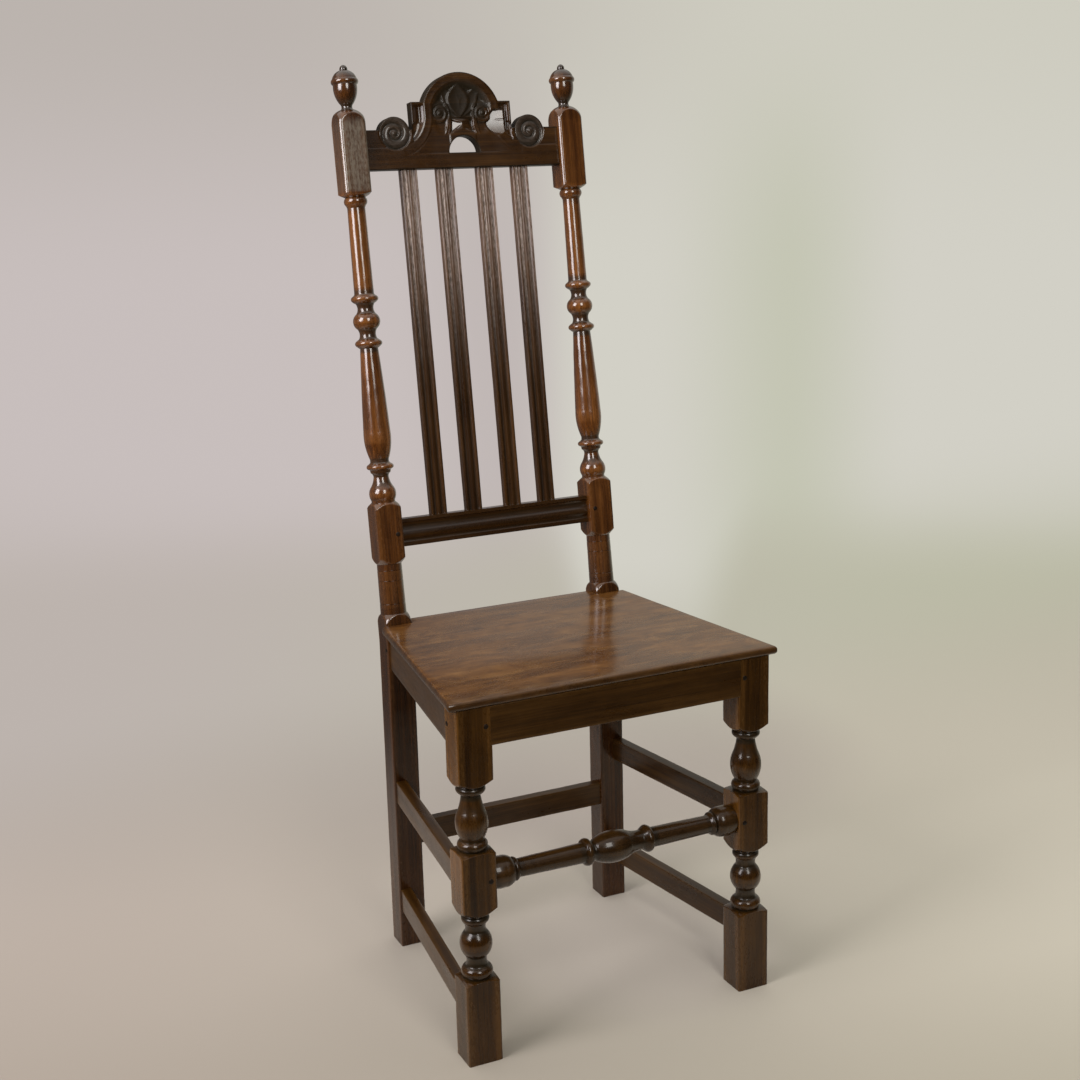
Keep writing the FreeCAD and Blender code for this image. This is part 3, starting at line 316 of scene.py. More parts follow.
class Nodes:
    """Makes and links the nodes of one material or world."""

    def __init__(self, tree):
        self.tree = tree

    def feed(self, socket, value):
        """Link a socket to another node's output, or set it to a number, vector or colour."""
        if isinstance(value, bpy.types.NodeSocket):
            self.tree.links.new(value, socket)
        else:
            socket.default_value = (*value, 1) if socket.type == "RGBA" else value

    def made(self, kind, inputs, output, **settings):
        """Make a node with its settings and inputs, and return one of its outputs."""
        node = self.tree.nodes.new("ShaderNode" + kind)
        for key, value in settings.items():
            setattr(node, key, value)
        for key, value in inputs.items():
            self.feed(node.inputs[key], value)
        return node.outputs[output]

    def attribute(self, label, output="Fac"):
        return self.made("Attribute", {}, output, attribute_name=label)

    def noise(self, grain, scale, detail, rough, distortion=0.0):
        """Noise that is drawn out along the grain."""
        stretched = self.made("Mapping", {"Vector": grain, "Scale": scale}, "Vector")
        return self.made("TexNoise", {"Vector": stretched, "Scale": 1.0, "Detail": detail,
                                      "Roughness": rough, "Distortion": distortion}, "Fac")

    def ramp(self, value, stops):
        node = self.tree.nodes.new("ShaderNodeValToRGB")
        elements = node.color_ramp.elements
        while len(elements) < len(stops):
            elements.new(0.5)
        for element, (place, colour) in zip(elements, stops):
            element.position, element.color = place, (*colour, 1)
        self.feed(node.inputs["Fac"], value)
        return node.outputs["Color"]

    def spread(self, value, low, high, first=0.0, last=1.0, kind="LINEAR"):
        """Turn low to high into first to last."""
        return self.made("MapRange", {"Value": value, "From Min": low, "From Max": high, "To Min": first,
                                      "To Max": last}, "Result", interpolation_type=kind)

    def step(self, value, low, high, first=0.0, last=1.0):
        return self.spread(value, low, high, first, last, "SMOOTHSTEP")

    def math(self, operation, first, second):
        return self.made("Math", {0: first, 1: second}, "Value", operation=operation)

    def plus(self, first, second):
        return self.math("ADD", first, second)

    def times(self, first, second):
        return self.math("MULTIPLY", first, second)

    def larger(self, first, second):
        return self.math("MAXIMUM", first, second)

    def mix(self, factor, first, second, kind="MIX"):
        """Mix two colours."""
        return self.made("Mix", {0: factor, 6: first, 7: second}, 2, data_type="RGBA", blend_type=kind)


def new_material(name):
    """A material with no nodes yet, and the maker of its nodes."""
    material = bpy.data.materials.new(name)
    material.use_nodes = True
    material.node_tree.nodes.clear()
    return material, Nodes(material.node_tree)


# Oak

PORE_TINT, BLOTCH_TINT, RECESS_PATINA_AND_SHADE = (0.30, 0.24, 0.20), (0.45, 0.40, 0.40), (0.010, 0.009, 0.004)
RUBBED_GAIN = (1.4, 1.5, 1.8)
PLAIN_FIGURE, CLOUDED_FIGURE = (0.50, 0.36, 0.14), (0.24, 0.20, 0.56)
BROWN_DUST_AND_SHEEN, PALE_DUST_AND_SHEEN = (0.28, 0.228, 0.170), (0.52, 0.43, 0.39)


def oak_colour(nodes, grain, stains, figure, dust_and_sheen, hollow, scuff, streaks, blotch, fine):
    """Stained fibres and pores, blotches of patina, arrises rubbed paler, dust and scuffs that are partly
    painted sheen, and recesses darkened as dark patina together with painted shade.
    """
    plus, times, mix, spread = nodes.plus, nodes.times, nodes.mix, nodes.spread
    bands = nodes.noise(grain, (2.2, 70.0, 70.0), 4.0, 0.62, 0.6)
    clouds = nodes.noise(grain, (16.0, 34.0, 34.0), 6.0, 0.66, 1.2)
    pale = tuple(part * gain for part, gain in zip(stains[2], RUBBED_GAIN))
    tone = plus(times(bands, figure[0]), times(streaks, figure[1]))
    tone = plus(tone, times(clouds, figure[2]))
    colour = nodes.ramp(tone, list(zip((0.34, 0.50, 0.66), stains)))
    pores = nodes.noise(grain, (28.0, 1500.0, 1500.0), 3.0, 0.6)
    colour = mix(spread(pores, 0.52, 0.66, 0.0, 0.55), colour, PORE_TINT, "MULTIPLY")
    colour = mix(spread(blotch, 0.38, 0.66, 0.55, 0.0), colour, BLOTCH_TINT, "MULTIPLY")
    rubbed = times(nodes.attribute("wear"), spread(fine, 0.35, 0.7, 0.25, 1.0))
    colour = mix(spread(rubbed, 0.0, 1.0, 0.0, 0.45), colour, pale)
    # Dust and scuffs, paler and greyer; on the slats and the left post's block they are partly painted sheen.
    scratched = spread(plus(times(fine, 0.6), times(streaks, 0.4)), 0.40, 0.60, 0.15, 1.0)
    colour = mix(times(scuff, scratched), colour, dust_and_sheen)
    # The tone mark scales the colour; on the front legs, the slats and the seat it is painted light and
    # shade.
    tone = nodes.attribute("tone")
    colour = nodes.made("VectorMath", {0: colour, "Scale": tone}, "Vector", operation="SCALE")
    raised = plus(plus(times(pores, -0.5), times(streaks, 0.35)), times(fine, 0.5))
    # Hollows darkened towards near-black: dark patina together with painted shade.
    return mix(spread(hollow, 0.0, 1.0, 0.0, 0.85), colour, RECESS_PATINA_AND_SHADE), raised


def oak(name, stains, gloss, coat, coat_rough, coat_ior=1.6, waxed=False, figure=PLAIN_FIGURE,
        dust_and_sheen=BROWN_DUST_AND_SHEEN, bump=1.0):
    """Old polished oak. stains are its dark, middle and light fibres. Where it is waxed, the mark of
    that name says how thickly."""
    material, nodes = new_material(name)
    plus, times = nodes.plus, nodes.times
    grain = nodes.attribute("grain", "Vector")
    hollow, scuff = nodes.attribute("hollow"), nodes.attribute("scuff")
    streaks = nodes.noise(grain, (7.0, 420.0, 420.0), 5.0, 0.65, 0.3)
    blotch = nodes.noise(grain, (9.0, 24.0, 24.0), 4.0, 0.55)
    fine = nodes.noise(grain, (160.0, 420.0, 420.0), 4.0, 0.6)
    colour, raised = oak_colour(nodes, grain, stains, figure, dust_and_sheen, hollow, scuff, streaks, blotch, fine)
    rough = nodes.spread(plus(times(blotch, 0.6), times(fine, 0.4)), 0.3, 0.7, gloss - 0.07, gloss + 0.12)
    rough = plus(plus(rough, times(scuff, 0.22)), times(hollow, 0.16))
    bumps = nodes.made("Bump", {"Strength": 0.55, "Distance": 0.00025 * bump, "Height": raised}, "Normal")
    wax = nodes.math("MINIMUM", times(nodes.attribute("polish"), coat), 1.0) if waxed else coat
    surface = nodes.made("BsdfPrincipled", {
        "Base Color": colour, "Roughness": rough, "Normal": bumps, "Specular IOR Level": 0.25,
        "Coat Weight": wax, "Coat Roughness": coat_rough, "Coat IOR": coat_ior}, "BSDF")
    output = nodes.tree.nodes.new("ShaderNodeOutputMaterial")
    nodes.feed(output.inputs["Surface"], surface)
    return material


MATERIALS = {
    "oak_posts": oak("oak_posts", ((0.034, 0.010, 0.001), (0.145, 0.047, 0.007), (0.340, 0.128, 0.026)),
                     0.22, 1.00, 0.15, 1.8, waxed=True, bump=0.8),
    "oak_legs": oak("oak_legs", ((0.018, 0.006, 0.001), (0.050, 0.020, 0.002), (0.100, 0.042, 0.007)),
                    0.24, 0.45, 0.10, waxed=True),
    "oak_seat": oak("oak_seat", ((0.062, 0.020, 0.003), (0.160, 0.066, 0.013), (0.290, 0.142, 0.038)),
                    0.26, 0.50, 0.13, figure=CLOUDED_FIGURE),
    "oak_rails": oak("oak_rails", ((0.018, 0.007, 0.001), (0.050, 0.020, 0.002), (0.090, 0.040, 0.007)),
                     0.30, 0.15, 0.18),
    "oak_back": oak("oak_back", ((0.018, 0.006, 0.001), (0.048, 0.019, 0.003), (0.094, 0.040, 0.008)),
                    0.28, 0.40, 0.14, 1.8, waxed=True, dust_and_sheen=PALE_DUST_AND_SHEEN, bump=0.25),
    "oak_pegs": oak("oak_pegs", ((0.006, 0.003, 0.001), (0.013, 0.006, 0.002), (0.026, 0.013, 0.005)),
                    0.42, 0.0, 0.14),
}


# Posts and legs

def post_profile():
    """Radius and height points of a back post."""
    corner = hypot(POST_W, POST_D) / 2
    wide, bevelled = corner - CORNER_TRIM, corner - TOP_TRIM
    points = [(wide, -KINK)]
    straight(points, wide, COLLAR_LOW, PLAIN_STEP)
    shaped(points, COLLAR, POST_TURN, COLLAR_LOW, COLLAR_TOP)
    straight(points, wide, COLLAR_TOP, TURNED_STEP)
    straight(points, wide, POST_BLOCK_TOP, BLOCK_STEP)
    shaped(points, LONG_TURNING, POST_TURN, POST_BLOCK_TOP, TOP_BLOCK_LOW)
    straight(points, bevelled, TOP_BLOCK_LOW, FINE_STEP)
    straight(points, bevelled, TOP_BLOCK_TOP, BLOCK_STEP)
    shaped(points, FINIAL, POST_TURN, TOP_BLOCK_TOP, FINIAL_TOP, FINE_STEP)
    return points


def add_turned(node_name, slot, placed, points, tone_ends=(0.0, 0.0), **marks):
    """Add a turned piece, with the points where it stands and the points as it was turned. tone_ends
    is its stain at the middle of each end."""
    quads, tris = tube(*points.shape[:2])
    for label, values in marks.items():
        marks[label] = np.append(values, tone_ends if label == "tone" else (0.0, 0.0))
    add_piece(node_name, slot, with_ends(placed), quads, tris, with_ends(points[..., [2, 0, 1]]), **marks)


def back_post(side, node_name, seed):
    """A post that is upright below the kink and raked above it. The left one's top block is rubbed
    dull in front, and a little on its outer side, where the paler grey is painted light from the left."""
    points, hollow, wear, flat = turned(post_profile(), POST_W / 2, POST_D / 2, seed)
    x, y, s = points[..., 0], points[..., 1], points[..., 2]
    upright = points + np.array([0.0, POST_Y, KINK])
    bend = (s / BEND_RUN + 0.5).clip(0, 1)[..., None]
    placed = upright * (1 - bend) + rake(points) * bend
    placed[..., 0] += side * POST_X
    # The front is rubbed; the 0.3 share on the outer side is painted light from the left.
    rubbed = np.maximum(smooth(-y, 13.5, 17.0), 0.3 * smooth(-x, 13.5, 17.0))
    low, top = s - TOP_BLOCK_LOW, s - TOP_BLOCK_TOP
    scuff = rubbed * smooth(low, -1.0, 5.0) * smooth(top, 9.0, -5.0) * (side < 0)
    tone = 0.30 + 0.30 * smooth(s, -30.0, 120.0) + 0.40 * smooth(s - POST_BLOCK_TOP, -4.0, 21.0)
    tone *= 1 - 0.35 * smooth(low, -3.0, 3.0) - 0.10 * smooth(top, -5.0, 3.0)
    polish = (1 - 0.50 * flat) * (0.30 + 0.70 * smooth(s, -10.0, COLLAR_LOW))
    add_turned(node_name, "oak_posts", placed, points, (0.3, 0.65), hollow=hollow, wear=wear,
               scuff=scuff, tone=tone, polish=polish)


def leg_profile():
    """Radius and height points of a front leg."""
    wide = hypot(LEG_W, LEG_D) / 2 - CORNER_TRIM
    points = [(wide, 0.0)]
    straight(points, wide, FOOT_TOP, PLAIN_STEP)
    shaped(points, LOWER_TURNING, LEG_TURN, FOOT_TOP, LEG_BLOCK_LOW)
    straight(points, wide, LEG_BLOCK_LOW, FINE_STEP)
    straight(points, wide, LEG_BLOCK_TOP, BLOCK_STEP)
    shaped(points, UPPER_TURNING, LEG_TURN, LEG_BLOCK_TOP, HEAD_LOW)
    straight(points, wide, HEAD_LOW, FINE_STEP)
    straight(points, wide, RAIL_TOP, PLAIN_STEP)
    return points


def front_leg(side, node_name, seed):
    points, hollow, wear, flat = turned(leg_profile(), LEG_W / 2, LEG_D / 2, seed)
    placed = points + np.array([side * LEG_X, LEG_Y, 0.0])
    # Faces towards -X are lighter from the lower turning up: painted light from the left.
    tone = 1 + 1.0 * smooth(-points[..., 0], 20.0, 22.0) * smooth(points[..., 2], 150.0, 250.0)
    add_turned(node_name, "oak_legs", placed, points, hollow=hollow, wear=wear, tone=tone,
               polish=1 - 0.6 * flat)


def front_stretcher():
    """A turned stretcher with a swelling middle. Each end runs a little into its leg's block."""
    length = 2 * LEG_IN
    half = [(LEG_TURN * 0.90, 0.0)]
    shaped(half, STRETCHER_END, LEG_TURN, 0.0, length)
    whole = list(half)
    shaped(whole, STRETCHER_MIDDLE, LEG_TURN, 0.0, length)
    plug = [(8.0, -3.0), (LEG_TURN * 0.86, -0.4)]
    profile = plug + whole + [(r, length - h) for r, h in reversed(plug + half[:-1])]
    points = turned(profile, 60.0, 60.0, 77, around=88)[0]
    radius, height = np.array(profile).T
    reach = np.array([radius[np.abs(height - h) < 7.0].max() for h in height])
    level = np.ones(points.shape[1])
    # Darker all over, and more in its recesses: dark patina together with painted shade.
    hollow = 0.25 + smooth(reach - radius, 1.5, 7.0)[:, None] * level * 0.5
    wear = smooth(radius / reach, 0.97, 1.0)[:, None] * level * 0.4
    placed = points[..., [2, 0, 1]] + np.array([-LEG_IN, LEG_Y, FRONT_STRETCHER_Z])
    add_turned("front_stretcher", "oak_legs", placed, points, hollow=hollow, wear=wear)


# Rails and stretchers

def rounded_section(width, height, radius=ARRIS, step=4.0):
    """A rectangle with rounded corners, centred, as points round it, and which lie on an arris."""
    points, edge = [], []
    corners = ((1, 1, 0, (-1, 0)), (-1, 1, 90, (0, -1)), (-1, -1, 180, (1, 0)), (1, -1, 270, (0, 1)))
    for cx, cy, turn, way in corners:
        for i in range(5):
            a = radians(turn + 22.5 * i)
            points.append((cx * (width / 2 - radius) + radius * cos(a),
                           cy * (height / 2 - radius) + radius * sin(a)))
            edge.append(1.0)
        reach = (width if way[0] else height) - 2 * radius
        count = max(2, int(reach / step))
        last = points[-1]
        for i in range(1, count):
            move = reach * i / count
            points.append((last[0] + way[0] * move, last[1] + way[1] * move))
            edge.append(0.0)
    return np.array(points), np.array(edge)


def swept(node_name, slot, section, stations, place, seed, rough=0.22, sharp=40.0, **marks):
    """A section carried along stations. place(station, section) gives its points there. A mark is
    given for the section's points, or for stations by section points."""
    points = np.array([place(station, section) for station in stations])
    rows, count = points.shape[:2]
    grain = joined(stations[:, None], section[:, 0], section[:, 1])
    way = points - points.mean(1, keepdims=True)
    way /= np.maximum(np.linalg.norm(way, axis=-1, keepdims=True), 1e-6)
    drift = waves(points, seed, (170.0, 60.0)) * rough + waves(points, seed + 5, (17.0,)) * rough * 0.3
    points += way * drift[..., None]
    for label, values in marks.items():
        end = 1.0 if label in ("tone", "scuff") else 0.0
        marks[label] = np.append(np.broadcast_to(values, (rows, count)), (end, end))
    quads, tris = tube(rows, count)
    return add_piece(node_name, slot, with_ends(points), quads, tris, with_ends(grain), sharp, **marks)


def cross_bar(node_name, half, front, thickness, low, height, seed):
    """A rail across the chair."""
    section, edge = rounded_section(thickness, height)
    reach = half + JOINT_REACH

    def place(x, points):
        return joined(x, front + thickness / 2 + points[:, 0], low + height / 2 + points[:, 1])
    swept(node_name, "oak_rails", section, np.linspace(-reach, reach, 61), place, seed, wear=edge)


def side_x(y):
    """Where the outer faces of the side rails and stretchers are, at a depth."""
    front = FRONT_WIDTH / 2 - SIDE_SET_FRONT
    back = BACK_WIDTH / 2 - SIDE_SET_BACK
    return front + (back - front) * (y - LEG_D) / (SIDE_RUN - LEG_D)


def side_bar(node_name, side, thickness, low, height, rise, seed, far=0.0):
    """A rail or stretcher along a side of the seat frame, which may rise towards the front."""
    section, edge = rounded_section(thickness, height)
    stations = np.linspace(LEG_D - JOINT_REACH, SIDE_RUN + JOINT_REACH + far, 60)

    def place(y, points):
        x = side_x(y) - thickness / 2 + points[:, 0]
        lift = rise * (SIDE_RUN - y) / (SIDE_RUN - LEG_D)
        return joined(side * x, y, low + lift + height / 2 + points[:, 1])
    piece = swept(node_name, "oak_rails", section, stations, place, seed, wear=edge)
    if side > 0:
        piece.data.flip_normals()


def side_frame(side, label, rise):
    """A side's seat rail and its two stretchers."""
    side_bar(label + "_seat_rail", side, RAIL_THICKNESS, RAIL_BOTTOM, RAIL_HEIGHT, 0.0, 60 + side, RAIL_REACH)
    for place, low, seed in (("_upper_stretcher", UPPER_LOW, 64), ("_lower_stretcher", LOWER_LOW, 68)):
        side_bar(label + place, side, STRETCHER_THICKNESS, low, STRETCHER_HEIGHT, rise, seed + side)


# Back

def moulded(rows, start, relief, width, thickness, step):
    """A closed section with a moulded front and a plain back, as across and depth, and its marks."""
    line = [(start * relief, 0.0)]
    shaped(line, rows, relief, 0.0, width, step)
    front = [(across, deep) for deep, across in line]
    back = [(width, thickness - FINE_ARRIS), (width - FINE_ARRIS, thickness), (FINE_ARRIS, thickness),
            (0.0, thickness - FINE_ARRIS)]
    deep = np.array([p[1] for p in front]) / relief
    plain = [0.0] * len(back)
    # Deep parts are darkened (dark patina together with painted shade) and ridges worn.
    marks = {"hollow": np.append(smooth(deep, 0.70, 1.0) * 0.35, plain),
             "wear": np.append(smooth(1 - deep, 0.80, 1.0) * 0.4, plain)}
    return np.array(front + back), marks


def back_sweep(node_name, section, stations, place, seed, **marks):
    """A moulded length of the raked back."""
    swept(node_name, "oak_back", section, stations, lambda s, points: rake(place(s, points)), seed,
          0.15, 32.0, **marks)


def lower_back_rail():
    sizes = (LOWER_RAIL_RELIEF, LOWER_RAIL_WIDTH, LOWER_RAIL_THICKNESS)
    section, marks = moulded(RAIL_MOULDING, 0.0, *sizes, 0.5)
    stations = np.linspace(-POST_IN - JOINT_REACH, POST_IN + JOINT_REACH, 70)

    def place(x, points):
        return joined(x, BACK_FACE + points[:, 1], LOWER_RAIL_TOP - points[:, 0])
    back_sweep("lower_back_rail", section, stations, place, 31, tone=0.8, **marks)


def splat(number, middle):
    """A moulded slat. Towards the top its ridges are painted grey, as scuffs together with painted sheen, and
    the whole slat is painted lighter, as painted light.
    """
    section, marks = moulded(SPLAT_MOULDING, 0.5, SPLAT_RELIEF, SPLAT_WIDTH, SPLAT_THICKNESS, 0.4)
    stations = np.linspace(SPLAT_LOW, SPLAT_TOP, 110)

    def place(s, points):
        return joined(middle - SPLAT_WIDTH / 2 + points[:, 0], SPLAT_FACE + points[:, 1], s)
    u = section[:, 0] / SPLAT_WIDTH
    ridges = smooth(u, 0.13, 0.20) * smooth(u, 0.38, 0.30)
    ridges += 0.5 * smooth(u, 0.55, 0.62) * smooth(u, 0.80, 0.70)
    ridges = 0.12 + 0.88 * np.maximum(ridges, 0.6 * smooth(u, 0.88, 0.97)) * (section[:, 1] < 3.0)
    # Towards the top: grey on the ridges (scuffs and painted sheen) and a lighter tone (painted light).
    back_sweep("splat_%d" % number, section, stations, place, 40 + number,
               scuff=ridges * smooth(stations, 300.0, 575.0)[:, None],
               tone=1.05 + 0.95 * smooth(stations, 380.0, 590.0)[:, None], **marks)


# Seat

def board_plan():
    """Corners of the board, which narrows to the back and is notched round the posts."""
    front, back = -BOARD_LIP, SIDE_RUN + BOARD_TAIL
    wide, narrow = FRONT_WIDTH / 2 + FRONT_OVERHANG, BACK_WIDTH / 2 + BACK_OVERHANG
    notch_y = SIDE_RUN + (RAIL_TOP + RAIL_SET - KINK) * sin(RAKE) - NOTCH_GAP
    notch_x = wide + (narrow - wide) * (notch_y - front) / (back - front)
    inner = POST_IN - NOTCH_GAP
    right = [(wide, front), (notch_x, notch_y), (inner, notch_y), (inner, back)]
    return right + [(-x, y) for x, y in reversed(right)]


def board_mesh():
    """The board with its nosing and arrises, cut into small faces."""
    work = bmesh.new()
    face = work.faces.new([work.verts.new((x, y, RAIL_TOP)) for x, y in board_plan()])
    made = bmesh.ops.extrude_face_region(work, geom=[face])["geom"]
    top = [part for part in made if isinstance(part, bmesh.types.BMVert)]
    bmesh.ops.translate(work, vec=(0, 0, BOARD_THICKNESS), verts=top)
    bmesh.ops.recalc_face_normals(work, faces=work.faces)
    nosed = [e for e in work.edges if abs(e.verts[0].co.z - e.verts[1].co.z) < 1
             and min(e.verts[0].co.y, e.verts[1].co.y) < 1 - BOARD_LIP]
    bmesh.ops.bevel(work, geom=nosed, offset=NOSING, segments=7, profile=0.5, affect="EDGES")
    small = [e for e in work.edges if len(e.link_faces) == 2 and e.calc_face_angle(0) > 0.9]
    bmesh.ops.bevel(work, geom=small, offset=SMALL_ARRIS, segments=2, profile=0.5, affect="EDGES")
    wide = FRONT_WIDTH / 2 + FRONT_OVERHANG
    for way, low, high in (((1, 0, 0), -wide, wide), ((0, 1, 0), -BOARD_LIP, SIDE_RUN + BOARD_TAIL)):
        for place in np.arange(low + BOARD_GRID, high, BOARD_GRID):
            bmesh.ops.bisect_plane(work, geom=work.verts[:] + work.edges[:] + work.faces[:],
                                   plane_co=Vector(way) * place, plane_no=way)
    bmesh.ops.triangulate(work, faces=[f for f in work.faces if len(f.verts) > 4])
    work.verts.index_update()
    points = np.array([v.co[:] for v in work.verts])
    quads, tris = ([[v.index for v in f.verts] for f in work.faces if len(f.verts) == corners]
                   for corners in (4, 3))
    work.free()
    return points, quads, tris


def seat_board():
    points, quads, tris = board_mesh()
    top = smooth(points[:, 2], RAIL_TOP + 6, RAIL_TOP + 10.9)
    points[:, 2] += top * (waves(points[:, :2], 9, (260.0, 90.0)) * 0.30 - 0.10)
    y, z = points[:, 1], points[:, 2]
    wear = smooth(z, RAIL_TOP + 5, RAIL_TOP + 9) * smooth(-y, -6, 1.5) * 0.5
    # The top is lighter than the edges and underside, and darker near its front edge: painted shade.
    tone = 0.42 + 0.58 * smooth(z, RAIL_TOP + 9.6, RAIL_TOP + 10.8) * (0.35 + 0.65 * smooth(y, 6.0, 30.0))
    add_piece("seat_board", "oak_seat", points, quads, tris, points, 30.0, wear=wear, tone=tone)


# Crest rail. Heights t are measured from its bottom edge, and depths are below its front plane.

CREST_BOTTOM, CREST_THICKNESS = 619.0, 16.0
END_T, CREASE_T = 51.5, 28.3
SQUARE_HALF, SQUARE_T, RIM_W = 71.5, 87.0, 2.0
ARCH_HALF, PEAK_T, BAND_W = 54.0, 125.5, 13.0
ARCH_R = (ARCH_HALF ** 2 + (PEAK_T - SQUARE_T) ** 2) / (2 * (PEAK_T - SQUARE_T))
ARCH_T = PEAK_T - ARCH_R
VOLUTE_X, VOLUTE_T, VOLUTE_R = 97.0, 47.0, 21.5
TAIL_T, TAIL_R = 71.3, 43.0
TAIL_X = VOLUTE_X - TAIL_R
CUT_R, CUT_T = 22.0, 20.0
INNER_X, INNER_T, INNER_R = 31.0, 72.5, 12.8
BITE_X, BITE_LOW, BITE_TOP, SLOT_X = 61.5, 41.5, 77.5, 66.0
WEDGE_HALF, WEDGE_T = 19.0, 58.0
LEAF_T = 66.0
FACET_SLOPE = (0.235, -0.055)
CHIP = ((-15.0, 65.0), (1.5, 59.0), (-17.0, 45.0))
STEM = ((34.5, 21.0), (30.5, 31.0), (25.5, 39.0), (21.5, 47.0), (19.0, 56.0), (18.4, 65.0), (19.2, 74.0),
        (20.8, 82.0))
VEINS = (((-1.0, 70.0), (-1.5, 88.0), (-6.5, 104.0)), ((-1.5, 86.0), (5.0, 104.0)))
LOBES = ((60, 41, 9.0, -1.9), (33, 47, 10.0, -1.6), (0, 44, 17.0, -1.0))
WALL_DEPTHS = (2.2, 8.0, 14.6)
# Marks of the crest's back and of its sawn walls: the walls are much darker and barely waxed.
HIDDEN_MARKS = {"hollow": (0.3, 0.85), "polish": (0.5, 0.1)}
FAR = 1e3


def box_distance(x, t, half, high):
    """Signed distance to a box that stands on the bottom edge, symmetrical about X."""
    dx = np.abs(x) - half
    dt = np.abs(t - high / 2) - high / 2
    return np.hypot(np.maximum(dx, 0), np.maximum(dt, 0)) + np.minimum(np.maximum(dx, dt), 0)


def crest_edge(x, t):
    """Signed distance to the crest's sawn outline, negative inside."""
    d = box_distance(x, t, POST_IN + JOINT_REACH, END_T)
    d = np.minimum(d, box_distance(x, t, SQUARE_HALF, SQUARE_T))
    d = np.minimum(d, np.hypot(x, t - ARCH_T) - ARCH_R)
    d = np.minimum(d, np.hypot(np.abs(x) - VOLUTE_X, t - VOLUTE_T) - VOLUTE_R)
    hole = np.maximum(np.hypot(x, t - CUT_T) - CUT_R, CUT_T - t)
    return np.maximum(d, -hole)


def from_path(path, x, t):
    """Distance from each point to a path, and its place along the path."""
    path = np.asarray(path, float)
    best, place = np.full(x.shape, 1e9), np.zeros(x.shape)
    steps = np.hypot(*np.diff(path, axis=0).T)
    length = np.concatenate([[0], np.cumsum(steps)])
    for i, (a, b) in enumerate(zip(path, path[1:])):
        way = (b - a) / max(steps[i], 1e-9)
        u = np.clip((x - a[0]) * way[0] + (t - a[1]) * way[1], 0, steps[i])
        d = np.hypot(x - a[0] - way[0] * u, t - a[1] - way[1] * u)
        near = d < best
        best[near] = d[near]
        place[near] = (length[i] + u)[near]
    return best, place / length[-1]


def arc_path(cx, ct, r, start, sweep, count):
    turns = [radians(start + sweep * i / count) for i in range(count + 1)]
    return [(cx + r * cos(turn), ct + r * sin(turn)) for turn in turns]


def spiral(x, t, outer, start, shrink, way):
    """The swell of a coil that winds inwards round the origin from the angle start."""
    turn = ((np.degrees(np.arctan2(t, x)) - start) * way / 360.0) % 1.0
    ring = np.log(np.maximum(np.hypot(x, t), 0.4) / outer) / np.log(shrink) - turn
    return np.sin(pi * (ring - np.floor(ring))) ** 0.55


def chip(x, t):
    """1 on the three-cornered facet left of the middle, above the opening."""
    inside = np.full(x.shape, FAR)
    for (ax, at), (bx, bt) in zip(CHIP, CHIP[1:] + CHIP[:1]):
        size = hypot(bx - ax, bt - at)
        inside = np.minimum(inside, -((bx - ax) * (t - at) - (bt - at) * (x - ax)) / size)
    return smooth(inside, 0.0, 1.5)


def ground_height(x, t):
    """The ground of the carving, dished under the hood."""
    low = 1 - smooth(t, 40.0, 64.0)
    inset = ARCH_R - BAND_W - np.hypot(x, t - ARCH_T)
    dish = -1.0 - 2.2 * smooth(inset, 0.0, 9.0)
    return dish * (1 - low) + low * (-0.9 * (1 - smooth(np.abs(x), 40.0, 70.0)))


def level_edges(h, across, t):
    """A plain band along the bottom, and plain ends below the line that runs to each post."""
    h = np.where(t < CUT_T + 1.0, h * smooth(t, CUT_T - 1.2, CUT_T + 1.0), h)
    h = np.where((across > VOLUTE_X - 20) & (t < CREASE_T), h * smooth(across, 96.0, 77.0), h)
    return np.where(across > 100.0, -0.8 * smooth(t, CREASE_T - 0.7, CREASE_T + 0.5), h)


def hood_band(across, t):
    """Where the hood's band lies, down from the arch and out under the volute, its height there, and
    how firm it still is."""
    middle = ARCH_R - BAND_W / 2
    down_x = TAIL_X - BAND_W / 2
    angle = degrees(atan2((middle ** 2 - down_x ** 2) ** 0.5, down_x))
    path = arc_path(0, ARCH_T, middle, 90, angle - 90, 30)
    path += arc_path(VOLUTE_X, TAIL_T, TAIL_R + BAND_W / 2, 180, 90, 24)
    d, place = from_path(path, across, t)
    u = d / (BAND_W / 2)
    firm = smooth(place, 0.92, 0.62)
    profile = -0.1 - 0.35 * (1 - u ** 2) * firm - 0.7 * smooth(u, 0.62, 1.0) * firm
    return (d < BAND_W / 2) & (t < PEAK_T + 2), profile, firm


def cut_bracket(h, across, t):
    """The hollow between that band and the square corner, narrowing under the volute, and the rim
    beside it."""
    below = TAIL_R - np.hypot(across - VOLUTE_X, t - TAIL_T)
    from_tail = np.where(t > TAIL_T, across - TAIL_X, below)
    to_rim = np.where(t > 60, SQUARE_HALF - RIM_W - across, FAR)
    to_disc = np.hypot(across - VOLUTE_X, t - VOLUTE_T) - 19.6
    other = np.minimum(to_rim, np.where(t < 66, to_disc, FAR))
    width = from_tail + other
    f = np.clip(from_tail / np.maximum(width, 0.1), 0, 1)
    deep = np.minimum(4.6, width * 0.42) * (0.55 + 0.45 * smooth(t, 40.0, 80.0))
    shelf = smooth(t, SQUARE_T - 1.2, SQUARE_T - 5.0)
    cove = (-0.4 - deep * np.sin(pi * f ** 0.72)) * shelf - 0.6 * (1 - shelf)
    h = np.where((from_tail > 0) & (other > 0) & (across < SQUARE_HALF) & (t > 28), cove, h)
    rim = (across >= SQUARE_HALF - RIM_W) & (across <= SQUARE_HALF) & (t > 58) & (t < SQUARE_T + 1)
    return np.where(rim, -0.5, h)


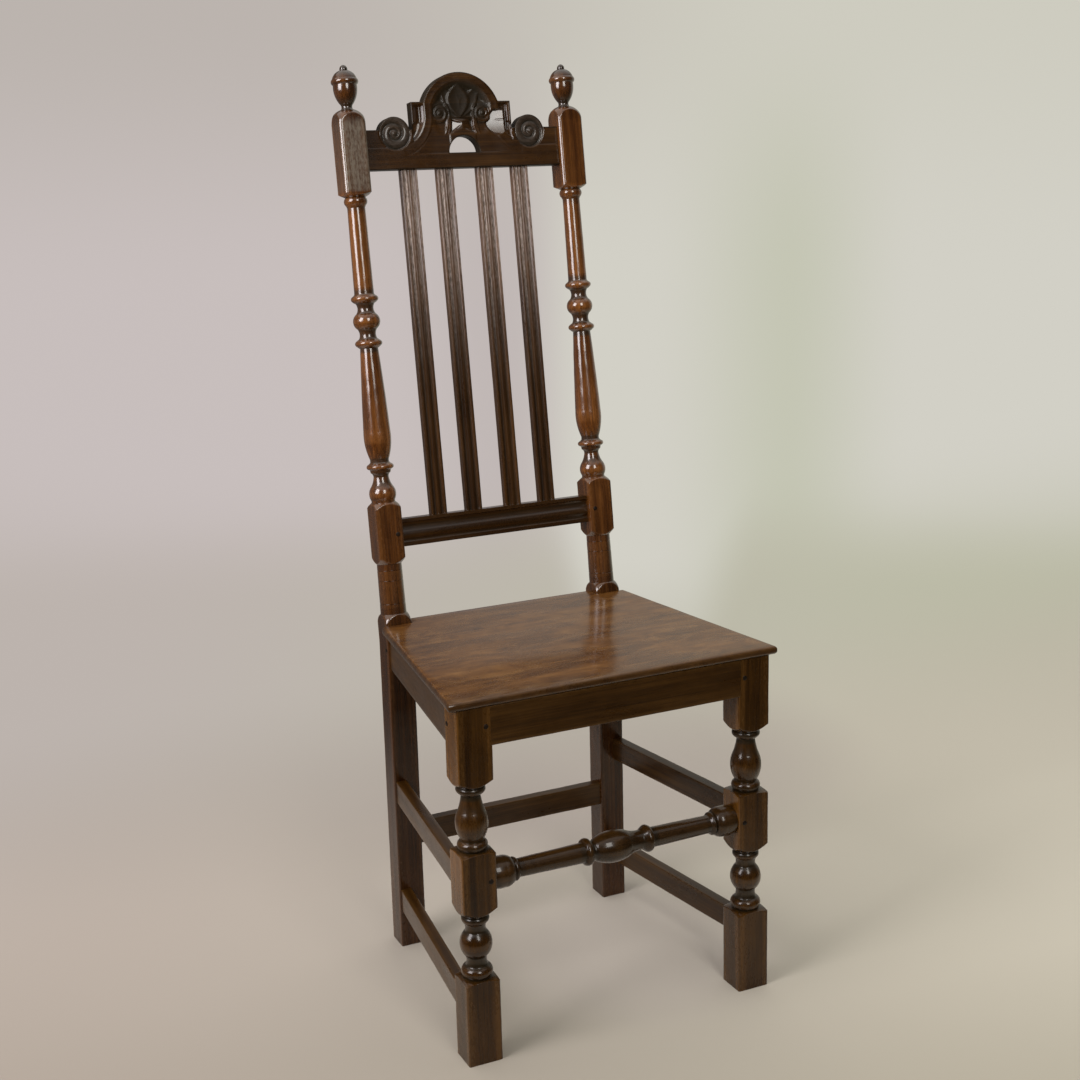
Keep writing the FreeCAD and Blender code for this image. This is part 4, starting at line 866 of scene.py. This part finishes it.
def cut_volutes(h, across, t, band, profile, firm):
    """The outer volutes, and the band where it runs clear of them."""
    dx, dt = across - VOLUTE_X, t - VOLUTE_T
    r = np.hypot(dx, dt)
    volute = -2.9 + 2.4 * spiral(dx, dt, 20.8, -90.0, 0.40, 1.0)
    button = -1.2 + 1.8 * np.clip(1 - (np.hypot(dx - 1.5, dt) / 4.6) ** 2, -1, 1)
    h = np.where(r < VOLUTE_R + 0.1, np.where(r < 20.9, np.maximum(volute, button), -1.6), h)
    return np.where(band & (firm > 0) & (r >= 21.4), profile, h)


def cut_bite(h, x, t):
    """On the right the hollow is cut back into the band: a smooth facet, deepest beside the scroll."""
    up = t - 58.0
    left_edge = 34.5 + 0.055 * up ** 2 * (up < 0) + 0.034 * up ** 2 * (up >= 0)
    inward = np.clip(x - left_edge, 0.0, 40.0)
    bite = (x > left_edge) & (x < BITE_X) & (t > BITE_LOW) & (t < BITE_TOP)
    sag = 0.02 * (x - 52.0) ** 2
    fade = smooth(inward, 0.0, 1.6) * smooth(t, BITE_LOW + sag, BITE_LOW + 4.0 + sag)
    fade *= smooth(t, BITE_TOP, BITE_TOP - 2.0)
    facet = -0.3 - FACET_SLOPE[0] * (BITE_X - x) + FACET_SLOPE[1] * (t - 60.0)
    facet -= 0.45 * np.exp(-((t - 62.5) / 0.9) ** 2) * smooth(x, 45.0, 52.0)
    h = np.where(bite, h * (1 - fade) + facet * fade, h)
    return np.where((x >= BITE_X) & (x < SLOT_X) & (t > 50) & (t < 84.5), -4.8, h)


def cut_facets(h, x, t, ground):
    """Facets that fall from a ridge above the opening to each stem."""
    up, lit = t - WEDGE_T, chip(x, t)
    left = lit * (FACET_SLOPE[0] * x + FACET_SLOPE[1] * up) + (1 - lit) * (0.10 * x - 0.02 * up)
    slope = np.where(x < 0, left, -0.30 * x + FACET_SLOPE[1] * up)
    facets = -0.4 + slope * smooth(np.hypot(x, t - CUT_T), 30.0, 33.0)
    blended = facets * smooth(t, LEAF_T, 62.0) + ground * smooth(t, 62.0, LEAF_T)
    return np.where((np.abs(x) < WEDGE_HALF) & (t > CUT_T) & (t < LEAF_T), blended, h)


def raise_scrolls(h, across, t, band, ground):
    """Stems that rise beside the opening into the inner volutes."""
    d, place = from_path(STEM, across, t)
    half = 4.6 - 1.6 * smooth(place, 0.2, 0.9)
    raised = -2.6 + 2.1 * np.sqrt(np.clip(1 - (d / half) ** 2, 0, 1))
    raised = raised - 0.7 * np.exp(-((d - 0.4) / (half * 0.34)) ** 2)
    h = np.where((d < half) & (t > CUT_T), np.maximum(h, raised), h)
    dx, dt = across - INNER_X, t - INNER_T
    r = np.hypot(dx, dt)
    volute = -2.7 + 1.7 * spiral(dx, dt, INNER_R - 0.2, 180.0, 0.47, -1.0)
    volute = np.maximum(volute, -1.7 + 1.4 * np.clip(1 - (r / 3.6) ** 2, -1, 1))
    fall = smooth(r, INNER_R, INNER_R - 1.0)
    return np.where((r < INNER_R) & ~band, volute * fall + ground * (1 - fall), h)


def raise_leaf(h, x, t, band):
    """One broad lobe with raised edges and a forked vein, and lobes behind it on each side."""
    for lean, reach, wide, lift in LOBES:
        for way in ((-1, 1) if lean else (1,)):
            a = radians(lean * way)
            dx, dt = x + 3.0 * (lean == 0), t - LEAF_T
            up, aside = dx * sin(a) + dt * cos(a), dx * cos(a) - dt * sin(a)
            share = np.clip(up / reach, 0, 1)
            e = np.abs(aside) / (wide * np.sin(pi * share ** 1.15) ** 0.75 + 0.01)
            inside = (up > 0) & (up < reach) & (e < 1) & ~band
            bowl = lift - 1.1 * (1 - e ** 2.2) * np.sin(pi * share) ** 0.5 - 1.2 * smooth(e, 0.80, 1.0)
            h = np.where(inside, np.maximum(bowl, h) if lean else np.maximum(bowl, -9), h)
    d = np.minimum(*(from_path(vein, x, t)[0] for vein in VEINS))
    vein = -2.8 + 0.9 * np.sqrt(np.clip(1 - (d / 2.4) ** 2, 0, 1))
    return np.where((d < 2.4) & ~band, np.maximum(h, vein), h)


def crest_height(x, t):
    """Height of the carving at each point, zero at the front plane and negative behind it."""
    across = np.abs(x)
    ground = ground_height(x, t)
    band, profile, firm = hood_band(across, t)
    h = level_edges(ground, across, t)
    h = cut_bracket(h, across, t)
    h = cut_volutes(h, across, t, band, profile, firm)
    h = cut_bite(h, x, t)
    h = cut_facets(h, x, t, ground)
    h = raise_scrolls(h, across, t, band, ground)
    return raise_leaf(h, x, t, band)


def blurred(field, radius):
    """Average over a square of about that many cells each way, three times."""
    out = field.copy()
    for _ in range(3):
        for axis in (0, 1):
            size = out.shape[axis]
            before = np.repeat(np.take(out, [0], axis), radius, axis)
            after = np.repeat(np.take(out, [-1], axis), radius, axis)
            total = np.cumsum(np.concatenate([before, out, after], axis), axis)
            start = np.take(total, range(0, size), axis)
            end = np.take(total, range(2 * radius, 2 * radius + size), axis)
            out = (end - start) / (2 * radius)
    return out


def crest_grid(step=0.55, e=0.01):
    """A grid over the crest, drawn to its outline where that is near, and which points are on it."""
    xs = np.arange(-POST_IN - JOINT_REACH - 2 * step, POST_IN + JOINT_REACH + 2.1 * step, step)
    ts = np.arange(-2 * step, PEAK_T + 2.1 * step, step)
    x, t = np.meshgrid(xs, ts)
    d = crest_edge(x, t)
    gx = (crest_edge(x + e, t) - crest_edge(x - e, t)) / (2 * e)
    gt = (crest_edge(x, t + e) - crest_edge(x, t - e)) / (2 * e)
    size = np.maximum(np.hypot(gx, gt), 1e-6)
    snap = np.abs(d) < step * 0.62
    return np.where(snap, x - d * gx / size, x), np.where(snap, t - d * gt / size, t), snap | (d < 0)


def crest_front(x, t):
    """Height of the worn front at each point of the grid, and its marks."""
    h = crest_height(x, t)
    inner = -crest_edge(x, t)
    inside_arch = smooth(np.hypot(x, t - 72.0), 47.0, 38.0) * smooth(t, 58.0, 70.0)
    h = 0.35 * h + 0.65 * blurred(h, 1)
    h = h + 0.6 * inside_arch * (blurred(h, 2) - h)
    wide = blurred(h, 5)
    on_volute = smooth(np.hypot(np.abs(x) - VOLUTE_X, t - VOLUTE_T), 22.0, 20.0)
    # Darker in hollows and over the whole inside of the arch, as dark patina together with painted shade, and
    # darker on the volutes.
    hollow = np.clip((wide - h) / 1.6, 0, 1) * 0.7 + 0.74 * inside_arch + 0.62 * on_volute
    in_bracket = (np.abs(x) > TAIL_X) & (t > 29) & (on_volute < 0.1) & (np.abs(x) < SQUARE_HALF)
    bitten = (x > 33) & (t > 41) & (t < 78)
    plain = (t < CUT_T - 0.5) | in_bracket | (bitten & (x < 62))
    hollow = np.where(plain, 0.0, np.clip(hollow, 0, 0.9))
    # Darker along the sawn outline as well.
    hollow = np.maximum(hollow, 0.8 * smooth(inner, 2.2, 0.6))
    hood = ARCH_R - BAND_W
    on_hood = smooth(np.hypot(x, t - ARCH_T), hood - 1.0, hood + 1.0) * smooth(t, 70.0, 84.0)
    polish = (1 - 0.75 * inside_arch) * (1 - 0.6 * on_hood) * (1 - 0.85 * smooth(inner, 3.0, 1.5))
    polish = np.where(bitten & (x < BITE_X), 0.2 + 1.5 * smooth(t, 44.0, 64.0), polish + 0.9 * chip(x, t))
    wear = np.clip((h - wide) / 0.9, 0, 1) * 0.35
    h = h - 0.9 * (1 - np.sqrt(np.clip(1 - (1 - np.clip(inner / 1.1, 0, 1)) ** 2, 0, 1)))
    h += waves(np.stack([x, t], -1), 5, (60.0, 18.0)) * 0.12
    return h, {"hollow": hollow, "wear": wear, "scuff": 0.13 * on_volute, "polish": polish}


def kept_faces(keep):
    """Quads and triangles of a grid over the points that are kept, and those points' numbers."""
    index = np.arange(keep.size).reshape(keep.shape)
    corners = np.stack([index[:-1, :-1], index[:-1, 1:], index[1:, 1:], index[1:, :-1]], -1).reshape(-1, 4)
    kept = keep.ravel()[corners]
    quads = corners[kept.sum(1) == 4]
    three = kept.sum(1) == 3
    tris = corners[three][kept[three]].reshape(-1, 3)
    used = np.unique(np.concatenate([quads.ravel(), tris.ravel()]))
    number = np.full(keep.size, -1)
    number[used] = np.arange(len(used))
    return number[quads], number[tris], used


def open_rim(quads, tris):
    """Edges that belong to one face alone."""
    edges = np.concatenate([quads[:, [0, 1]], quads[:, [1, 2]], quads[:, [2, 3]], quads[:, [3, 0]],
                            tris[:, [0, 1]], tris[:, [1, 2]], tris[:, [2, 0]]])
    _, first, times = np.unique(np.sort(edges, 1), axis=0, return_index=True, return_counts=True)
    return edges[first[times == 1]]


def crest_walls(rim, ring, count):
    """Quads that join the front's rim to the back's, by way of the rings between them."""
    number = np.full(count, -1)
    number[ring] = np.arange(len(ring))
    a, b = rim.T
    levels = [(a, b)]
    for i in range(len(WALL_DEPTHS)):
        offset = 2 * count + i * len(ring)
        levels.append((number[a] + offset, number[b] + offset))
    levels.append((a + count, b + count))
    return [np.stack([hi[1], hi[0], lo[0], lo[1]], -1) for hi, lo in zip(levels, levels[1:])]


def crest_rail():
    """The crest, as its carved front, a plain back, and sawn walls between them."""
    x, t, keep = crest_grid()
    h, marks = crest_front(x, t)
    quads, tris, used = kept_faces(keep)
    count = len(used)
    x, t, h = x.ravel()[used], t.ravel()[used], h.ravel()[used]
    rim = open_rim(quads, tris)
    ring = np.unique(rim.ravel())

    grid = joined(x, BACK_FACE, CREST_BOTTOM + t)
    points = [grid - joined(0, h, 0), grid + (0, CREST_THICKNESS, 0)]
    points = np.concatenate(points + [grid[ring] + (0, depth, 0) for depth in WALL_DEPTHS])
    quads = np.concatenate([quads, quads[:, ::-1] + count] + crest_walls(rim, ring, count))
    tris = np.concatenate([tris, tris[:, ::-1] + count])
    walls = len(points) - 2 * count
    for label, front in marks.items():
        back, wall = HIDDEN_MARKS.get(label, (0.0, 0.0))
        marks[label] = np.concatenate([front.ravel()[used], np.full(count, back), np.full(walls, wall)])
    add_piece("crest_rail", "oak_back", rake(points), quads, tris, points, 50.0, **marks)


# Pegs: short pins with worn domed heads, as radius and depth below the face

PEG = ((0.4, -0.42), (1.8, -0.36), (2.9, -0.12), (3.35, 0.25), (3.4, 2.0))


def peg(place, inward, number, count=24):
    """Points of a peg, by row. Each peg of a piece has its own slightly uneven outline."""
    inward = np.array(inward, float)
    side = np.array([inward[1], inward[0], 0.0])
    up = np.cross(inward, side)
    angle = np.arange(count) * 2 * pi / count
    return np.array([[np.array(place) + inward * depth
                      + (side * cos(a) + up * sin(a)) * r * (1 + 0.03 * sin(3 * a + number))
                      for a in angle] for r, depth in PEG])


def pegs(node_name, places, inwards, lean=lambda points: points):
    """The pegs of a joint and its mirror image, as one piece."""
    points, quads, tris, grain = [], [], [], []
    for number, (place, inward) in enumerate(zip(places, inwards)):
        rows = peg(place, inward, number)
        flat = with_ends(lean(rows))
        more_quads, more_tris = tube(*rows.shape[:2])
        quads.append(more_quads + number * len(flat))
        tris.append(more_tris + number * len(flat))
        points.append(flat)
        grain.append(flat + number * 40)
    piece = add_piece(node_name, "oak_pegs", np.concatenate(points), np.concatenate(quads),
                      np.concatenate(tris), np.concatenate(grain))
    work = bmesh.new()
    work.from_mesh(piece.data)
    bmesh.ops.recalc_face_normals(work, faces=work.faces)
    work.to_mesh(piece.data)
    work.free()


def all_pegs():
    middle = RAIL_TOP - RAIL_HEIGHT / 2
    inner = LEG_IN + PEG_INSET
    inward, sideways = [(0, 1, 0)] * 2, [(1, 0, 0), (-1, 0, 0)]
    pegs("front_rail_pegs", [(s * inner, 0, middle) for s in (-1, 1)], inward)
    pegs("front_stretcher_pegs", [(s * inner, 0, FRONT_STRETCHER_Z) for s in (-1, 1)], inward)
    at_legs = [(s * FRONT_WIDTH / 2, LEG_D - PEG_INSET, middle) for s in (-1, 1)]
    at_posts = [(s * BACK_WIDTH / 2, SIDE_RUN + PEG_INSET, middle) for s in (-1, 1)]
    pegs("side_rail_pegs", at_legs + at_posts, sideways * 2)
    at_rail = [(s * (POST_IN + PEG_INSET), -POST_D / 2, PEG_LEVEL) for s in (-1, 1)]
    pegs("lower_back_rail_pegs", at_rail, inward, rake)


# Camera, solved from the photograph

def add_camera():
    place = np.array([-866.6865, -1634.9225, 1078.7793])
    yaw, pitch, roll = 0.4421, -0.2186, -0.0252
    focal_pixels, image, sensor = 1630.3191, 1080.0, 36.0
    principal_x, principal_y = 545.0927, 504.5376
    forward = Vector((sin(yaw) * cos(pitch), cos(yaw) * cos(pitch), sin(pitch)))
    level = Vector((cos(yaw), -sin(yaw), 0.0))
    above = level.cross(forward)
    right = level * cos(roll) + above * sin(roll)
    up = above * cos(roll) - level * sin(roll)
    data = bpy.data.cameras.new("camera")
    data.sensor_width = sensor
    data.lens = focal_pixels / image * sensor
    data.shift_x = (image / 2 - principal_x) / image
    data.shift_y = (principal_y - image / 2) / image
    camera = bpy.data.objects.new("camera", data)
    turn = Matrix((right, up, -forward)).transposed().to_4x4()
    camera.matrix_world = Matrix.Translation(Vector(put(place))) @ turn
    bpy.context.scene.collection.objects.link(camera)
    bpy.context.scene.camera = camera


# Studio: a floor that turns up into a backdrop all round, two high soft lamps and a pale sky.
# Lengths from here on are metres.

LILAC, LILAC_PAINTED_SHADOW, PALE_GREEN = (0.575, 0.517, 0.507), (0.515, 0.462, 0.447), (0.645, 0.630, 0.565)
GREEN_PAINTED_SHADOW, LOW_LILAC, LOW_GREEN = (0.555, 0.560, 0.455), (0.505, 0.452, 0.420), (0.500, 0.495, 0.385)
HIGH_LILAC, HIGH_GREEN = (0.500, 0.455, 0.425), (0.615, 0.602, 0.525)
VIEW_SIN, VIEW_COS = 0.428, 0.904


def floor_colour(nodes, across, away):
    """The colour of the floor near the chair, lighter beyond it and to the right, as painted light and shade,
    with a painted shadow behind the chair and a painted pool of light under it.
    """
    def painted_light_spot(middle, distance, radius, strength):
        one, two = nodes.math("SUBTRACT", across, middle), nodes.math("SUBTRACT", away, distance)
        apart = nodes.plus(nodes.times(one, one), nodes.times(two, two))
        return nodes.times(nodes.step(apart, radius ** 2, 0.0), strength)
    side = nodes.step(across, -0.8, 0.9)
    close = nodes.mix(side, (0.315, 0.277, 0.232), (0.395, 0.370, 0.290))
    beyond = nodes.mix(side, (0.460, 0.410, 0.365), (0.680, 0.650, 0.545))
    ground = nodes.mix(nodes.step(away, -0.75, 0.25), close, beyond)
    # Painted shadow behind the chair.
    ground = nodes.mix(painted_light_spot(0.03, 0.75, 0.60, 0.75), ground, (0.420, 0.372, 0.345))
    # Painted pool of light under the chair.
    return nodes.mix(painted_light_spot(0.12, 0.00, 0.24, 0.80), ground, (0.600, 0.550, 0.490))


def backdrop_colour(nodes, across, away, z):
    """The glow's colour: lilac to the left and greenish to the right. Its darker lilac patch behind the chair
    and darker green band to its right are painted shadows of the chair, and it is painted darker low down and
    high up, as painted shade.
    """
    step, mix, times = nodes.step, nodes.mix, nodes.times
    side = step(across, -1.1, 1.1)
    bearing = nodes.math("DIVIDE", across, nodes.larger(nodes.plus(away, 2.055), 1.0))
    # edge and green place the painted shadows of the chair on the backdrop.
    edge = times(step(bearing, -0.10, -0.02), step(bearing, 0.03, -0.02))
    green = times(step(bearing, 0.065, 0.160), step(bearing, 0.235, 0.150))
    upper = mix(step(bearing, -0.03, 0.03), LILAC, PALE_GREEN)
    upper = mix(times(edge, 0.8), upper, LILAC_PAINTED_SHADOW)
    upper = mix(green, upper, GREEN_PAINTED_SHADOW)
    upper = mix(step(away, 0.2, 1.4), mix(side, LILAC, PALE_GREEN), upper)
    nearer = times(step(bearing, 0.0, 0.04), step(bearing, 0.14, 0.09))
    raised = nodes.larger(step(nodes.plus(away, nearer), 1.7, 3.2), step(z, 0.1, 0.8))
    tone = mix(raised, mix(side, LOW_LILAC, LOW_GREEN), upper)
    return mix(step(z, 0.55, 1.60), tone, mix(side, HIGH_LILAC, HIGH_GREEN))


def paper(name):
    """Matt paper. Near the chair it shows the studio's light. Farther off, for camera, glossy and
    transmission rays alone, it glows with a painted tone of the lit backdrop, painted shade and
    shadows included; in reflections that glow is dimmer, most of all in front and far to the left."""
    material, nodes = new_material(name)
    plus, times, larger, step = nodes.plus, nodes.times, nodes.larger, nodes.step
    place = nodes.made("NewGeometry", {}, "Position")
    split = nodes.made("SeparateXYZ", {"Vector": place}, "X").node
    x, y, z = (split.outputs[axis] for axis in "XYZ")
    across = nodes.math("SUBTRACT", times(x, VIEW_COS), times(y, VIEW_SIN))
    away = plus(times(x, VIEW_SIN), times(y, VIEW_COS))
    reach = nodes.math("POWER", plus(times(x, x), times(y, y)), 0.5)
    rays = nodes.tree.nodes.new("ShaderNodeLightPath").outputs
    seen = larger(rays["Is Camera Ray"], rays["Is Transmission Ray"])
    # Painted shade on the glow as reflections see it: dimmer, most in front and far to the left.
    behind = times(step(y, -1.6, 1.2, 0.06, 0.66), step(across, -1.0, -0.1, 0.35, 1.0))
    strength = larger(seen, times(rays["Is Glossy Ray"], behind))
    far = larger(step(y, 0.25, 1.30), step(reach, 1.3, 2.5))
    near = larger(step(y, 0.25, 1.30), step(reach, 0.5, 1.1))
    lit = nodes.made("BsdfPrincipled", {"Base Color": floor_colour(nodes, across, away), "Roughness": 0.9,
                                        "Specular IOR Level": 0.1}, "BSDF")
    glow = nodes.made("Emission", {"Color": backdrop_colour(nodes, across, away, z),
                                   "Strength": strength}, "Emission")
    share = plus(times(far, seen), times(near, rays["Is Glossy Ray"]))
    surface = nodes.made("MixShader", {0: share, 1: lit, 2: glow}, "Shader")
    output = nodes.tree.nodes.new("ShaderNodeOutputMaterial")
    nodes.feed(output.inputs["Surface"], surface)
    return material


def sweep_of(name, rows, material):
    """A round sheet through rows of radius and height, closed in the middle if it starts there."""
    count = 96
    angle = np.arange(count) * 2 * pi / count
    points = [(r * cos(a), r * sin(a), z) for r, z in rows for a in angle]
    faces = skin(len(rows), count, flip=True).tolist()
    if rows[0][0] < 1.0:
        faces.append(list(range(count)))
    mesh = bpy.data.meshes.new(name)
    mesh.from_pydata(points, [], faces)
    mesh.polygons.foreach_set("use_smooth", np.ones(len(mesh.polygons), bool))
    mesh.materials.append(material)
    made = bpy.data.objects.new(name, mesh)
    bpy.context.scene.collection.objects.link(made)
    return made


def add_stage(floor_r=2.6, flat_r=2.8, bend=1.6, wall_top=4.5):
    """The floor, and the backdrop that rises from it."""
    sheet = paper("paper")
    sweep_of("floor", [(0.3, 0.0), (0.6, 0.0), (1.4, 0.0), (floor_r, 0.0)], sheet)
    rising = [(flat_r + bend * sin(radians(a)), bend - bend * cos(radians(a))) for a in range(5, 91, 5)]
    wall_r = flat_r + bend
    backdrop = sweep_of("backdrop", [(floor_r, 0.0), (flat_r, 0.0)] + rising
                        + [(wall_r, bend + 1.0), (wall_r, wall_top)], sheet)
    backdrop.visible_diffuse = False
    backdrop.visible_shadow = False


def softbox(name, place, size, power, colour, aim=(0.0, 0.0, 0.8)):
    data = bpy.data.lights.new(name, "AREA")
    data.shape = "RECTANGLE"
    data.size, data.size_y = size
    data.energy = power
    data.color = colour
    made = bpy.data.objects.new(name, data)
    made.location = place
    made.rotation_mode = "QUATERNION"
    made.rotation_quaternion = (Vector(place) - Vector(aim)).to_track_quat("Z", "Y")
    made.visible_camera = False
    bpy.context.scene.collection.objects.link(made)


def sky():
    """Soft light from above and behind. The side in front of the chair is dim."""
    world = bpy.data.worlds.new("sky")
    world.use_nodes = True
    nodes = Nodes(world.node_tree)
    way = nodes.made("TexCoord", {}, "Generated")
    toward = nodes.made("VectorMath", {0: way, 1: (-0.10, 0.78, 0.60)}, "Value", operation="DOT_PRODUCT")
    background = world.node_tree.nodes["Background"]
    nodes.feed(background.inputs["Color"], (1.0, 0.96, 0.92))
    nodes.feed(background.inputs["Strength"], nodes.step(toward, -0.5, 0.75, 0.08, 0.80))
    return world


# Chair

back_post(-1, "left_back_post", 11)
back_post(1, "right_back_post", 21)
front_leg(-1, "left_front_leg", 33)
front_leg(1, "right_front_leg", 43)
front_stretcher()
cross_bar("front_seat_rail", LEG_IN, 0.0, RAIL_THICKNESS, RAIL_BOTTOM, RAIL_HEIGHT, 51)
cross_bar("back_seat_rail", POST_IN, SIDE_RUN + RAIL_SET, RAIL_THICKNESS, RAIL_BOTTOM, RAIL_HEIGHT, 52)
cross_bar("back_stretcher", POST_IN, SIDE_RUN + BACK_STRETCHER_SET, STRETCHER_THICKNESS,
          BACK_STRETCHER_LOW, BACK_STRETCHER_HEIGHT, 53)
side_frame(-1, "left", LEFT_RISE)
side_frame(1, "right", 0.0)
lower_back_rail()
for number, middle in enumerate(SPLAT_MIDDLES, 1):
    splat(number, middle)
seat_board()
crest_rail()
all_pegs()

# Studio

add_camera()
add_stage()
softbox("left_softbox", (-2.24, -0.50, 1.88), (1.2, 1.7), 50.0, (1.0, 0.94, 0.95))
softbox("front_softbox", (-0.12, -2.70, 2.35), (0.9, 1.7), 34.0, (1.0, 0.97, 0.92))
bpy.context.scene.world = sky()
bpy.context.scene.view_settings.view_transform = "Standard"
